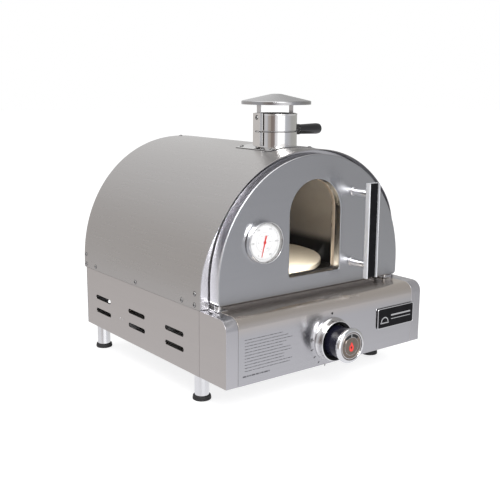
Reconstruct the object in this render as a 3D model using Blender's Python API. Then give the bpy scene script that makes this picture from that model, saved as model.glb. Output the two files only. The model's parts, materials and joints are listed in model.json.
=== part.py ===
"""Countertop gas pizza oven, in metres with +Z up.

The origin lies on the table under the middle of the overall box. The door faces -Y, and left and
right are those of someone who stands in front of the oven.
"""

import math

import bmesh
import bpy
from mathutils import Vector

# Sheet metal and fits
SHEET = 0.0015
GAP = 0.0003
SHARP_ANGLE = math.radians(32)
ARCH_STEPS = 36

# Base box
HALF_WIDTH = 0.225
BASE_BOTTOM = 0.051
BASE_TOP = 0.164
PANEL_FRONT = -0.224
PANEL_REAR = -0.1493
PANEL_ROUND = 0.0188
PANEL_END_WIDTH = 0.024
BASE_REAR = 0.2505
FLANGE = 0.014
SLOT_LENGTH = 0.059
SLOT_HEIGHT = 0.0085
SLOT_MIDDLES = (-0.073, 0.0547, 0.1824)
SLOT_ROWS = (0.0855, 0.112)

# Legs
LEG_X = 0.201
LEG_ROWS = {"front": -0.121, "rear": 0.231}
LEG_RADIUS = 0.01275
BOOT_RADIUS = 0.0162
BOOT_HEIGHT = 0.008
BOOT_FLOOR = 0.004

# Dome
DOME_HALF = 0.2258
DOME_SPRING = 0.177
DOME_RISE = 0.2393
DOME_POWER = 2.1
DOME_REAR = 0.256
DOME_BOTTOM = BASE_TOP + GAP
HOOD_LOW_Y = -0.153
HOOD_HIGH_Y = -0.167
HOOD_LOW_Z = 0.215
HOOD_HIGH_Z = 0.330

# Cavity behind the door
ARCH_CENTRE = 0.2026
LINER_HALF = 0.190
LINER_RISE = 0.186
LINER_REAR = 0.240
LINER_BOTTOM = 0.1664
DECK_BOTTOM = 0.1646
FRONT_PLATE_Y = -0.151
MOUTH_HALF = 0.172
MOUTH_BOTTOM = 0.186
FLUE_RADIUS = 0.0384

# Pizza stone and what carries it
STONE_Y = 0.052
STONE_RADIUS = 0.165
STONE_BOTTOM = 0.183
STONE_TOP = 0.194
RACK_ROD = 0.003
RACK_SPREAD = 0.085
RACK_REACH = 0.120
HEAT_OPENING = 0.115

# Door
DOOR_HALF = 0.2065
DOOR_BOTTOM = 0.1727
DOOR_FRONT = -0.177
DOOR_REAR = -0.154
DOOR_CORNER = 0.007
DOOR_EDGE = 0.0018
WINDOW_HALF = 0.0582
WINDOW_BOTTOM = 0.2014
WINDOW_CENTRE = 0.3078
WINDOW_CORNER = 0.004
GLASS_FRONT = -0.160
GLASS_REAR = -0.156
GLASS_LIP = 0.009
SEAL_INNER = 0.175
SEAL_WIDTH = 0.008

# Door hinge and catch
HINGE_X = -0.199
HINGE_Y = -0.166
HINGE_POST = 0.0025
HINGE_TOP = 0.228
SLEEVE_RADIUS = 0.0042
CATCH_X = 0.190

# Door handle
HANDLE_X = 0.087
HANDLE_WIDTH = 0.026
HANDLE_FRONT = -0.231
HANDLE_DEPTH = 0.011
HANDLE_Z = (0.191, 0.358)
HANDLE_WALL = 0.0022
HANDLE_POCKET = 0.0065
INSERT_SET_BACK = 0.0035
POST_Z = (0.212, 0.339)
POST_RADIUS = 0.0065

# Thermometer
GAUGE_X = -0.116
GAUGE_Z = 0.270
GAUGE_RADIUS = 0.036
GAUGE_FRONT = -0.188
DIAL_Y = -0.181
DIAL_RADIUS = 0.0335
PROBE_END = -0.115
NEEDLE_REST = math.radians(195)

# Gas knob
KNOB_Z = 0.0935
KNOB_FRONT = -0.274
BEZEL_RADIUS = 0.039
BEZEL_FRONT = -0.2395
KNOB_RADIUS = 0.027
RING_RADIUS = 0.0306
STEM_RADIUS = 0.0036
PLUNGER_RADIUS = 0.006

# Gas train
VALVE_FRONT = -0.2222
VALVE_BLOCK = (-0.214, -0.176)
BURNER_RADIUS = 0.095
BURNER_TUBE = 0.009
PIPE_RADIUS = 0.005
INLET_X = 0.150
INLET_Z = 0.090
INLET_END = 0.274

# Name plate
PLATE_X = (0.1106, 0.2043)
PLATE_Z = (0.0905, 0.128)

# Chimney
CHIMNEY_Y = -0.065
CHIMNEY_RADIUS = 0.038
CHIMNEY_BOTTOM = 0.380
CHIMNEY_TOP = 0.474
SADDLE_HALF_X = 0.0515
SADDLE_HALF_Y = 0.0490
CAP_RADIUS = 0.0624
CAP_RIM = 0.4892
CAP_EDGE = 0.4952
CAP_APEX = 0.5075
CHANNEL_FACE = -0.0445
CHANNEL_HALF = 0.010
CAP_LEG_HALF = 0.0055

# Damper
DAMPER_Z = 0.4425
DAMPER_THICKNESS = 0.0016
DAMPER_SLIT = 0.0026
DAMPER_RADIUS = 0.0352
DAMPER_PIN = 0.0015
DAMPER_PIN_X = -0.04065
GRIP_START = 0.0495
GRIP_END = 0.105
GRIP_RADIUS = 0.0103

# Finishes: colour, roughness, metallic
FINISHES = {
    "brushed_steel": ((0.38, 0.355, 0.34), 0.36, 1.0),
    "door_steel": ((0.27, 0.285, 0.30), 0.40, 1.0),
    "panel_steel": ((0.48, 0.48, 0.50), 0.34, 1.0),
    "polished_steel": ((0.62, 0.61, 0.60), 0.12, 1.0),
    "satin_steel": ((0.45, 0.45, 0.46), 0.42, 1.0),
    "zinc_steel": ((0.36, 0.36, 0.36), 0.50, 1.0),
    "heat_steel": ((0.17, 0.13, 0.10), 0.55, 1.0),
    "brass": ((0.60, 0.42, 0.17), 0.32, 1.0),
    "chrome": ((0.75, 0.75, 0.76), 0.06, 1.0),
    "cordierite": ((0.74, 0.64, 0.49), 0.92, 0.0),
    "ceramic_fibre": ((0.80, 0.78, 0.72), 0.95, 0.0),
    "black_rubber": ((0.02, 0.02, 0.02), 0.75, 0.0),
    "black_plastic": ((0.012, 0.013, 0.018), 0.28, 0.0),
    "white_enamel": ((0.86, 0.87, 0.86), 0.40, 0.0),
    "red_paint": ((0.65, 0.03, 0.02), 0.35, 0.0),
    "glass": ((0.85, 0.90, 0.90), 0.03, 0.0),
}

# Joint axes, as points in world space
DOOR_AXIS = Vector((HINGE_X, HINGE_Y, DOOR_BOTTOM))
GAUGE_AXIS = Vector((GAUGE_X, DIAL_Y, GAUGE_Z))
DAMPER_AXIS = Vector((DAMPER_PIN_X, CHIMNEY_Y, DAMPER_Z))
KNOB_AXIS = Vector((0, PANEL_FRONT, KNOB_Z))


# ---------------------------------------------------------------- objects and materials

def clear_scene():
    for thing in list(bpy.data.objects):
        bpy.data.objects.remove(thing, do_unlink=True)


def finish_material(finish):
    """The material of one named finish, made the first time it is asked for."""
    material = bpy.data.materials.get(finish)
    if material is None:
        colour, roughness, metallic = FINISHES[finish]
        material = bpy.data.materials.new(finish)
        material.use_nodes = True
        shader = material.node_tree.nodes["Principled BSDF"]
        shader.inputs["Base Color"].default_value = (*colour, 1.0)
        shader.inputs["Roughness"].default_value = roughness
        shader.inputs["Metallic"].default_value = metallic
    return material


def link_mesh(name, bm, origin):
    """Make an object with its origin at a world point from a mesh drawn in world space."""
    bmesh.ops.recalc_face_normals(bm, faces=bm.faces)
    bmesh.ops.translate(bm, verts=bm.verts, vec=-Vector(origin))
    mesh = bpy.data.meshes.new(name)
    bm.to_mesh(mesh)
    bm.free()
    mesh.shade_smooth()
    mesh.set_sharp_from_angle(angle=SHARP_ANGLE)
    thing = bpy.data.objects.new(name, mesh)
    bpy.context.scene.collection.objects.link(thing)
    thing.location = origin
    return thing


def add_piece(name, bm, finish, axis=None):
    """One sub-part. A moving one hangs on the empty that marks its joint axis."""
    origin = Vector((0, 0, 0)) if axis is None else world_point(axis)
    thing = link_mesh(name, bm, origin)
    thing.data.materials.append(finish_material(finish))
    if axis is not None:
        thing.parent = axis
        thing.location = (0, 0, 0)
    return thing


def add_axis(name, point, parent=None):
    """An empty on a joint axis, at a world point."""
    empty = bpy.data.objects.new(name, None)
    empty.empty_display_size = 0.02
    bpy.context.scene.collection.objects.link(empty)
    empty.location = Vector(point)
    if parent is not None:
        empty.parent = parent
        empty.location = Vector(point) - world_point(parent)
    return empty


def world_point(thing):
    """Where an unrotated object's origin lies, through all its parents."""
    point = Vector(thing.location)
    while thing.parent is not None:
        thing = thing.parent
        point += thing.location
    return point


def combine(thing, operation, *shapes):
    """Cut shapes out of a piece or join them on. The shapes are drawn in world space."""
    for number, bm in enumerate(shapes):
        name = f"{thing.name}_{operation.lower()}_{number}"
        tool = link_mesh(name, bm, world_point(thing))
        tool.parent = thing
        tool.location = (0, 0, 0)
        tool.hide_render = True
        tool.display_type = "WIRE"
        modifier = thing.modifiers.new(name, "BOOLEAN")
        modifier.operation = operation
        modifier.object = tool
        modifier.solver = "EXACT"


def cut(thing, *shapes):
    combine(thing, "DIFFERENCE", *shapes)


def join(thing, *shapes):
    combine(thing, "UNION", *shapes)


# ---------------------------------------------------------------- solids

def loft(loops):
    """A closed solid through loops of points, with a flat face on the first and the last."""
    bm = bmesh.new()
    rings = [[bm.verts.new(point) for point in loop] for loop in loops]
    for ring, following in zip(rings, rings[1:]):
        for i in range(len(ring)):
            j = (i + 1) % len(ring)
            bm.faces.new((ring[i], ring[j], following[j], following[i]))
    bm.faces.new(rings[0])
    bm.faces.new(rings[-1])
    return bm


def prism_x(outline, x0, x1):
    return loft([[(x, y, z) for y, z in outline] for x in (x0, x1)])


def prism_y(outline, y0, y1):
    return loft([[(x, y, z) for x, z in outline] for y in (y0, y1)])


def prism_z(outline, z0, z1):
    return loft([[(x, y, z) for x, y in outline] for z in (z0, z1)])


def box(x0, x1, y0, y1, z0, z1):
    return prism_z([(x0, y0), (x1, y0), (x1, y1), (x0, y1)], z0, z1)


def turned(profile, centre, axis, segments):
    """Turn a closed profile of (radius, place along the axis) about an axis through a centre."""
    bm = bmesh.new()
    a, b = [i for i in range(3) if i != "XYZ".index(axis)]
    columns = []
    for k in range(segments):
        angle = 2 * math.pi * (k + 0.5) / segments
        column = []
        for i, (radius, along) in enumerate(profile):
            if radius == 0 and k > 0:
                column.append(columns[0][i])
                continue
            point = [along, along, along]
            point[a] = centre[0] + radius * math.cos(angle)
            point[b] = centre[1] + radius * math.sin(angle)
            column.append(bm.verts.new(point))
        columns.append(column)
    for k in range(segments):
        here, there = columns[k], columns[(k + 1) % segments]
        for i in range(len(profile)):
            j = (i + 1) % len(profile)
            corners = list(dict.fromkeys((here[i], here[j], there[j], there[i])))
            if len(corners) > 2:
                bm.faces.new(corners)
    return bm


def cylinder(radius, start, end, centre, axis, segments=24):
    return turned([(0, start), (radius, start), (radius, end), (0, end)], centre, axis, segments)


def tube(outer, inner, start, end, centre, axis, segments=24):
    profile = [(outer, start), (outer, end), (inner, end), (inner, start)]
    return turned(profile, centre, axis, segments)


def swept(route, radius, sides=10):
    """A round bar along a route of points."""
    points = [Vector(point) for point in route]
    side = Vector((0, 0, 1))
    loops = []
    for i, point in enumerate(points):
        before = points[max(i - 1, 0)]
        after = points[min(i + 1, len(points) - 1)]
        along = (after - before).normalized()
        across = along.cross(side).normalized()
        up = across.cross(along)
        turn = 1.0
        if 0 < i < len(points) - 1:
            turn = 1 / max(0.5, along.dot((point - before).normalized()))
        loop = []
        for k in range(sides):
            angle = 2 * math.pi * k / sides
            loop.append(point + radius * (across * turn * math.cos(angle) + up * math.sin(angle)))
        loops.append(loop)
    return loft(loops)


def rounded_rectangle(x0, x1, z0, z1, radius, steps=4):
    """Outline of a rectangle with round corners, anticlockwise from its lower left."""
    corners = ((x0, z0, 180), (x1, z0, 270), (x1, z1, 0), (x0, z1, 90))
    outline = []
    for x, z, start in corners:
        middle_x = x + radius if x == x0 else x - radius
        middle_z = z + radius if z == z0 else z - radius
        for k in range(steps + 1):
            angle = math.radians(start + 90 * k / steps)
            outline.append((middle_x + radius * math.cos(angle), middle_z + radius * math.sin(angle)))
    return outline


def arch_outline(half, bottom, spring, rise, power=2.0, corner=0.0, steps=ARCH_STEPS):
    """Outline of an arch in X and Z, from its bottom left over the top to its bottom right."""
    left = [(-half, bottom)]
    if corner > 0:
        angles = [math.radians(270 - 22.5 * k) for k in range(5)]
        left = [(corner - half + corner * math.cos(t), bottom + corner + corner * math.sin(t))
                for t in angles]
    top = []
    for i in range(steps + 1):
        angle = math.pi * (1 - i / steps)
        across = math.copysign(abs(math.cos(angle)) ** (2 / power), math.cos(angle))
        top.append((half * across, spring + rise * max(0.0, math.sin(angle)) ** (2 / power)))
    right = [(-x, z) for x, z in reversed(left)]
    return left + top + right


def dome_outline(inset, bottom=DOME_BOTTOM):
    """The dome's outline, set in from its outer face."""
    return arch_outline(DOME_HALF - inset, bottom, DOME_SPRING, DOME_RISE - inset, DOME_POWER)


def door_outline(inset):
    half = DOOR_HALF - inset
    corner = DOOR_CORNER - min(inset, DOOR_CORNER - 0.001)
    return arch_outline(half, DOOR_BOTTOM + inset, ARCH_CENTRE, half, corner=corner)


def window_outline(outset):
    half = WINDOW_HALF + outset
    bottom = WINDOW_BOTTOM - outset
    return arch_outline(half, bottom, WINDOW_CENTRE, half, corner=WINDOW_CORNER, steps=18)


def tunnel(outer, inner, front, rear):
    """Bent sheet between two open outlines. The front and rear are functions of height."""
    bm = bmesh.new()
    stations = []
    for (xo, zo), (xi, zi) in zip(outer, inner):
        corners = ((xo, front(zo), zo), (xo, rear(zo), zo), (xi, rear(zi), zi), (xi, front(zi), zi))
        stations.append([bm.verts.new(corner) for corner in corners])
    for here, there in zip(stations, stations[1:]):
        for i in range(4):
            j = (i + 1) % 4
            bm.faces.new((here[i], here[j], there[j], there[i]))
    bm.faces.new(stations[0])
    bm.faces.new(stations[-1])
    return bm


def slot_cutter(side, y, z):
    """A round-ended vent slot through a side plate."""
    outline = rounded_rectangle(y - SLOT_LENGTH / 2, y + SLOT_LENGTH / 2, z - SLOT_HEIGHT / 2,
                                z + SLOT_HEIGHT / 2, SLOT_HEIGHT / 2 - 0.0002, 3)
    return prism_x(outline, side * (HALF_WIDTH - 0.006), side * (HALF_WIDTH + 0.006))


# ---------------------------------------------------------------- base box

def build_base_sides():
    """Two channels, open to the inside, with six vent slots each."""
    for name, side in (("base_side_left", -1), ("base_side_right", 1)):
        outer, inner = side * HALF_WIDTH, side * (HALF_WIDTH - SHEET)
        lip = side * (HALF_WIDTH - FLANGE)
        outline = [(outer, BASE_BOTTOM), (outer, BASE_TOP), (lip, BASE_TOP), (lip, BASE_TOP - SHEET),
                   (inner, BASE_TOP - SHEET), (inner, BASE_BOTTOM + SHEET),
                   (lip, BASE_BOTTOM + SHEET), (lip, BASE_BOTTOM)]
        plate = add_piece(name, prism_y(outline, PANEL_REAR + GAP, BASE_REAR - SHEET - GAP),
                          "brushed_steel")
        for z in SLOT_ROWS:
            cut(plate, *[slot_cutter(side, y, z) for y in SLOT_MIDDLES])


def build_base_rear_panel():
    panel = add_piece("base_rear_panel", box(-HALF_WIDTH, HALF_WIDTH, BASE_REAR - SHEET, BASE_REAR,
                                             BASE_BOTTOM, BASE_TOP), "zinc_steel")
    cut(panel, cylinder(0.0078, BASE_REAR - 0.01, BASE_REAR + 0.01, (INLET_X, INLET_Z), "Y", 16))
    for row in SLOT_ROWS:
        for x in (-0.150, -0.050, 0.050):
            outline = rounded_rectangle(x - 0.030, x + 0.030, row - 0.004, row + 0.004, 0.0038, 3)
            cut(panel, prism_y(outline, BASE_REAR - 0.01, BASE_REAR + 0.01))


def build_base_floor_pan():
    bottom = BASE_BOTTOM + SHEET + GAP
    half = HALF_WIDTH - SHEET - GAP
    pan = add_piece("base_floor_pan", box(-half, half, PANEL_FRONT + SHEET + GAP,
                                          BASE_REAR - SHEET - GAP, bottom, bottom + SHEET),
                    "zinc_steel")
    for x in (-0.075, 0.0, 0.075):
        cut(pan, box(x - 0.022, x + 0.022, STONE_Y - 0.08, STONE_Y + 0.08, bottom - 0.01,
                     bottom + 0.01))


def panel_outline(inset, rear):
    """Side view of the panel's outer skin: up the front, round the corner and back along the top."""
    front = PANEL_FRONT + inset
    top = BASE_TOP - inset
    radius = PANEL_ROUND - inset
    outline = [(front, BASE_BOTTOM)]
    for k in range(9):
        angle = math.radians(180 - 90 * k / 8)
        outline.append((PANEL_FRONT + PANEL_ROUND + radius * math.cos(angle),
                        BASE_TOP - PANEL_ROUND + radius * math.sin(angle)))
    outline.append((rear, top))
    return outline


def build_control_panel():
    """One bent sheet: a return under the front, the front, the round corner and the top."""
    half = HALF_WIDTH - PANEL_END_WIDTH - GAP
    outer = panel_outline(0.0, PANEL_REAR)
    inner = panel_outline(SHEET, PANEL_REAR)
    inner[0] = (PANEL_FRONT + SHEET, BASE_BOTTOM + SHEET)
    lip = [(PANEL_FRONT + FLANGE, BASE_BOTTOM + SHEET), (PANEL_FRONT + FLANGE, BASE_BOTTOM)]
    outline = outer + list(reversed(inner)) + lip
    panel = add_piece("control_panel", prism_x(outline, -half, half), "panel_steel")
    cut(panel, cylinder(0.0095, PANEL_FRONT - 0.01, PANEL_FRONT + 0.01, (0, KNOB_Z), "Y", 20))


def build_panel_ends():
    """Two end caps that wrap the front and the top and close the sides."""
    for name, side in (("panel_end_left", -1), ("panel_end_right", 1)):
        outline = panel_outline(0.0, PANEL_REAR) + [(PANEL_REAR, BASE_BOTTOM)]
        seam = side * (HALF_WIDTH - PANEL_END_WIDTH)
        cap = add_piece(name, prism_x(outline, seam, side * HALF_WIDTH), "panel_steel")
        far = 0.02
        inner = panel_outline(SHEET, PANEL_REAR + far) + [(PANEL_REAR + far, BASE_BOTTOM - far)]
        inner[0] = (PANEL_FRONT + SHEET, BASE_BOTTOM - far)
        cut(cap, prism_x(inner, seam - side * far, side * (HALF_WIDTH - SHEET)))


def build_legs():
    for row, y in LEG_ROWS.items():
        for name, x in (("left", -LEG_X), ("right", LEG_X)):
            add_piece(f"leg_{row}_{name}",
                      tube(LEG_RADIUS, LEG_RADIUS - 0.0012, BOOT_FLOOR + GAP, BASE_BOTTOM - GAP,
                           (x, y), "Z", 20), "satin_steel")
            pocket = LEG_RADIUS + GAP
            profile = [(0, 0), (BOOT_RADIUS - 0.0012, 0), (BOOT_RADIUS, 0.0015),
                       (BOOT_RADIUS - 0.0012, BOOT_HEIGHT), (pocket, BOOT_HEIGHT),
                       (pocket, BOOT_FLOOR), (0, BOOT_FLOOR)]
            add_piece(f"foot_boot_{row}_{name}", turned(profile, (x, y), "Z", 20), "black_rubber")


# ---------------------------------------------------------------- dome and cavity

def hood_front(z):
    """The dome's front edge leans forward over the door above the straight sides."""
    share = min(1.0, max(0.0, (z - HOOD_LOW_Z) / (HOOD_HIGH_Z - HOOD_LOW_Z)))
    ease = share * share * (3 - 2 * share)
    return HOOD_LOW_Y + (HOOD_HIGH_Y - HOOD_LOW_Y) * ease


def build_dome_shell():
    shell = add_piece("dome_shell", tunnel(dome_outline(0.0), dome_outline(SHEET), hood_front,
                                           lambda z: DOME_REAR), "brushed_steel")
    cut(shell, cylinder(FLUE_RADIUS, 0.35, 0.45, (0, CHIMNEY_Y), "Z", 32))


def build_dome_rear_panel():
    outline = dome_outline(SHEET + GAP, BASE_TOP + 2 * GAP)
    add_piece("dome_rear_panel", prism_y(outline, BASE_REAR - SHEET, BASE_REAR), "zinc_steel")


def build_front_plate():
    """The oven's face behind the door, with the arched mouth in it."""
    outline = dome_outline(SHEET + GAP, BASE_TOP + 2 * GAP)
    plate = add_piece("front_plate", prism_y(outline, FRONT_PLATE_Y, FRONT_PLATE_Y + SHEET),
                      "brushed_steel")
    mouth = arch_outline(MOUTH_HALF, MOUTH_BOTTOM, ARCH_CENTRE, MOUTH_HALF, corner=0.006)
    cut(plate, prism_y(mouth, FRONT_PLATE_Y - 0.01, FRONT_PLATE_Y + 0.01))


def build_cavity():
    """The inner arch with its rear wall, the blanket round it and the deck under it."""
    front = FRONT_PLATE_Y + SHEET + GAP
    outer = arch_outline(LINER_HALF, LINER_BOTTOM, ARCH_CENTRE, LINER_RISE)
    liner = add_piece("cavity_liner", prism_y(outer, front, LINER_REAR), "heat_steel")
    inner = arch_outline(LINER_HALF - SHEET, LINER_BOTTOM - 0.02, ARCH_CENTRE, LINER_RISE - SHEET)
    cut(liner, prism_y(inner, front - 0.02, LINER_REAR - SHEET),
        cylinder(FLUE_RADIUS, 0.35, 0.45, (0, CHIMNEY_Y), "Z", 32))

    wrap = arch_outline(LINER_HALF + 2 * GAP, LINER_BOTTOM, ARCH_CENTRE, LINER_RISE + 2 * GAP)
    skin = dome_outline(SHEET + 2 * GAP, LINER_BOTTOM)
    blanket = add_piece("insulation_blanket", tunnel(skin, wrap, lambda z: front,
                                                     lambda z: LINER_REAR), "ceramic_fibre")
    cut(blanket, cylinder(FLUE_RADIUS + GAP, 0.35, 0.45, (0, CHIMNEY_Y), "Z", 32))

    half = DOME_HALF - 2 * SHEET - 2 * GAP
    deck = add_piece("cavity_floor", box(-half, half, front, BASE_REAR - SHEET - GAP, DECK_BOTTOM,
                                         DECK_BOTTOM + SHEET), "heat_steel")
    cut(deck, box(-HEAT_OPENING, HEAT_OPENING, STONE_Y - HEAT_OPENING, STONE_Y + HEAT_OPENING,
                  DECK_BOTTOM - 0.01, DECK_BOTTOM + 0.01))


def build_stone():
    edge = 0.0015
    profile = [(0, STONE_BOTTOM), (STONE_RADIUS - edge, STONE_BOTTOM),
               (STONE_RADIUS, STONE_BOTTOM + edge), (STONE_RADIUS, STONE_TOP - edge),
               (STONE_RADIUS - edge, STONE_TOP), (0, STONE_TOP)]
    add_piece("pizza_stone", turned(profile, (0, STONE_Y), "Z", 44), "cordierite")

    rod_z = STONE_BOTTOM - GAP - RACK_ROD
    first = cylinder(RACK_ROD, -RACK_REACH, RACK_REACH, (STONE_Y - RACK_SPREAD, rod_z), "X", 8)
    rack = add_piece("stone_rack", first, "heat_steel")
    join(rack, cylinder(RACK_ROD, -RACK_REACH, RACK_REACH, (STONE_Y + RACK_SPREAD, rod_z), "X", 8))
    for x in (-RACK_SPREAD, RACK_SPREAD):
        join(rack, cylinder(RACK_ROD * 0.9, STONE_Y - RACK_REACH, STONE_Y + RACK_REACH, (x, rod_z),
                            "Y", 8))
        for y in (STONE_Y - RACK_REACH + 0.002, STONE_Y + RACK_REACH - 0.002):
            join(rack, cylinder(0.002, LINER_BOTTOM, rod_z, (x, y), "Z", 8))


# ---------------------------------------------------------------- gas train

def build_burner():
    """A ring burner under the stone, fed by a mixing tube whose bell faces the jet."""
    ring = bmesh.new()
    around, across = 24, 8
    loops = []
    for k in range(around):
        turn = 2 * math.pi * k / around
        loop = []
        for i in range(across):
            angle = 2 * math.pi * i / across
            reach = BURNER_RADIUS + BURNER_TUBE * math.cos(angle)
            loop.append(ring.verts.new((reach * math.cos(turn), STONE_Y + reach * math.sin(turn),
                                        KNOB_Z + BURNER_TUBE * math.sin(angle))))
        loops.append(loop)
    for k in range(around):
        here, there = loops[k], loops[(k + 1) % around]
        for i in range(across):
            j = (i + 1) % across
            ring.faces.new((here[i], here[j], there[j], there[i]))
    burner = add_piece("ring_burner", ring, "zinc_steel")
    inlet = -0.160
    bell = [(0, STONE_Y - BURNER_RADIUS), (0.0085, STONE_Y - BURNER_RADIUS), (0.0085, -0.135),
            (0.0135, inlet), (0.0120, inlet), (0.0070, -0.135), (0.0070, -0.080), (0, -0.080)]
    join(burner, turned(bell, (0, KNOB_Z), "Y", 16))


def build_valve():
    """The gas valve on its nose behind the panel, with its bore and its jet."""
    start, end = VALVE_BLOCK
    valve = add_piece("valve_body", box(-0.015, 0.015, start, end, KNOB_Z - 0.016, KNOB_Z + 0.016),
                      "brass")
    join(valve, cylinder(0.0092, VALVE_FRONT, start + 0.002, (0, KNOB_Z), "Y", 20),
         turned([(0, end - 0.002), (0.005, end - 0.002), (0.005, -0.171), (0.002, -0.166),
                 (0, -0.166)], (0, KNOB_Z), "Y", 12))
    cut(valve, cylinder(PLUNGER_RADIUS + GAP, VALVE_FRONT - 0.01, -0.187, (0, KNOB_Z), "Y", 20))


def build_gas_line():
    """The pipe from the rear inlet to the valve, inside the base."""
    turn = 0.015
    valve_y = sum(VALVE_BLOCK) / 2
    route = [(INLET_X, 0.232, INLET_Z), (INLET_X, valve_y + turn, INLET_Z)]
    for k in range(1, 5):
        angle = math.radians(90 * k / 4)
        route.append((INLET_X - turn + turn * math.cos(angle), valve_y + turn - turn * math.sin(angle),
                      INLET_Z))
    route.append((0.0153, valve_y, INLET_Z))
    add_piece("manifold_pipe", swept(route, PIPE_RADIUS), "satin_steel")

    nut = turned([(0, 0.2323), (0.0075, 0.2323), (0.0075, BASE_REAR + GAP), (0.011, BASE_REAR + GAP),
                  (0.011, BASE_REAR + 0.008), (0.0078, BASE_REAR + 0.009), (0.0078, INLET_END - 0.001),
                  (0.0068, INLET_END), (0.003, INLET_END), (0.003, BASE_REAR), (0, BASE_REAR)],
                 (INLET_X, INLET_Z), "Y", 18)
    add_piece("gas_inlet_fitting", nut, "brass")


def build_probes():
    """The flame sensor and the spark electrode beside the burner, on their posts."""
    floor = BASE_BOTTOM + 2 * SHEET + 2 * GAP
    for name, x, finish in (("thermocouple", -0.032, "brass"),
                            ("igniter_electrode", 0.032, "ceramic_fibre")):
        y = STONE_Y - BURNER_RADIUS - 0.024
        profile = [(0, floor), (0.006, floor), (0.006, floor + 0.002), (0.003, floor + 0.004),
                   (0.003, KNOB_Z + 0.004), (0.0012, KNOB_Z + 0.006), (0.0012, KNOB_Z + 0.018),
                   (0, KNOB_Z + 0.018)]
        add_piece(name, turned(profile, (x, y), "Z", 10), finish)


# ---------------------------------------------------------------- knob

def build_knob(push_axis, turn_axis):
    centre = (0, KNOB_Z)
    base = PANEL_FRONT - GAP
    bezel = [(0.0286, base), (BEZEL_RADIUS, base), (BEZEL_RADIUS, base - 0.0022),
             (0.0378, base - 0.0050), (0.0366, base - 0.0080), (0.0361, BEZEL_FRONT + 0.0018),
             (0.0354, BEZEL_FRONT), (0.0342, BEZEL_FRONT), (0.0334, BEZEL_FRONT + 0.0010),
             (0.0286, base - 0.0030)]
    add_piece("knob_bezel", turned(bezel, centre, "Y", 28), "chrome")

    add_piece("valve_plunger", tube(PLUNGER_RADIUS, STEM_RADIUS + GAP, -0.206, -0.192, centre, "Y", 16),
              "brass", push_axis)

    stem = [(0, -0.245), (STEM_RADIUS, -0.245), (STEM_RADIUS, -0.214), (0.0052, -0.214),
            (0.0052, -0.2063), (STEM_RADIUS, -0.2063), (STEM_RADIUS, -0.196), (0, -0.196)]
    add_piece("valve_stem", turned(stem, centre, "Y", 16), "satin_steel", turn_axis)

    face = KNOB_FRONT + 0.0015
    body = [(0, face), (0.0238, face), (0.0238, -0.2670), (0.0281, -0.2670), (0.0281, -0.2645),
            (0.0266, -0.2632), (0.0264, -0.2580), (KNOB_RADIUS, -0.2310), (0.0255, -0.2295),
            (0.0065, -0.2295), (0.0065, -0.236),
            (STEM_RADIUS + GAP, -0.236), (STEM_RADIUS + GAP, -0.2455), (0, -0.2455)]
    add_piece("knob_body", turned(body, centre, "Y", 28), "black_plastic", turn_axis)

    ring = [(0.0284, -0.2652), (0.0296, -0.2656), (RING_RADIUS, -0.2684), (RING_RADIUS, -0.2700),
            (0.0292, -0.2726), (0.0266, KNOB_FRONT), (0.0246, KNOB_FRONT), (0.0240, -0.2734),
            (0.0240, -0.2673), (0.0284, -0.2673)]
    add_piece("knob_ring", turned(ring, centre, "Y", 28), "chrome", turn_axis)


def build_name_plate():
    outline = rounded_rectangle(PLATE_X[0], PLATE_X[1], PLATE_Z[0], PLATE_Z[1], 0.004)
    add_piece("name_plate", prism_y(outline, PANEL_FRONT - 0.0024, PANEL_FRONT - GAP),
              "black_plastic")


# ---------------------------------------------------------------- chimney and damper

def slit_cutter(rear, half_x=0.07):
    """The gap that the damper swings out through, open to the front."""
    return box(-half_x, half_x, CHIMNEY_Y - 0.07, CHIMNEY_Y + rear, DAMPER_Z - DAMPER_SLIT / 2,
               DAMPER_Z + DAMPER_SLIT / 2)


def crown(outline, half):
    """The top of an arch between X = -half and X = half."""
    points = []
    for (x0, z0), (x1, z1) in zip(outline, outline[1:]):
        for edge in (-half, half):
            if x0 < edge <= x1:
                points.append((edge, z0 + (z1 - z0) * (edge - x0) / (x1 - x0)))
        if abs(x1) < half:
            points.append((x1, z1))
    return points


def build_chimney():
    centre = (0, CHIMNEY_Y)
    over = dome_outline(-GAP - 0.0012)
    under = dome_outline(-GAP)
    saddle = add_piece("chimney_flange",
                       tunnel(crown(over, SADDLE_HALF_X), crown(under, SADDLE_HALF_X),
                              lambda z: CHIMNEY_Y - SADDLE_HALF_Y,
                              lambda z: CHIMNEY_Y + SADDLE_HALF_Y), "polished_steel")
    cut(saddle, cylinder(FLUE_RADIUS, 0.35, 0.45, centre, "Z", 32))

    pipe = add_piece("chimney_tube", tube(CHIMNEY_RADIUS, CHIMNEY_RADIUS - 0.0012, CHIMNEY_BOTTOM,
                                          CHIMNEY_TOP, centre, "Z", 32), "polished_steel")
    cut(pipe, slit_cutter(0.006))

    build_channel()
    build_cap()


def build_channel():
    """The folded seam cover on the tube's left, which also carries the damper's pin."""
    bottom, top = 0.4172, CHIMNEY_TOP + 0.0005
    back = -CHIMNEY_RADIUS + 0.006
    front_y, rear_y = CHIMNEY_Y - CHANNEL_HALF, CHIMNEY_Y + CHANNEL_HALF
    cover = add_piece("chimney_channel", box(CHANNEL_FACE, back, front_y, rear_y, bottom, top),
                      "polished_steel")
    wall = 0.0012
    cut(cover, box(CHANNEL_FACE + wall, 0, front_y + wall, rear_y - wall, bottom - 0.01, top + 0.01),
        cylinder(CHIMNEY_RADIUS + GAP, 0.35, 0.55, (0, CHIMNEY_Y), "Z", 32), slit_cutter(0.003))
    add_piece("damper_pin", cylinder(DAMPER_PIN, DAMPER_Z - 0.008, DAMPER_Z + 0.006,
                                     (DAMPER_PIN_X, CHIMNEY_Y), "Z", 12), "satin_steel")


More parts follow.
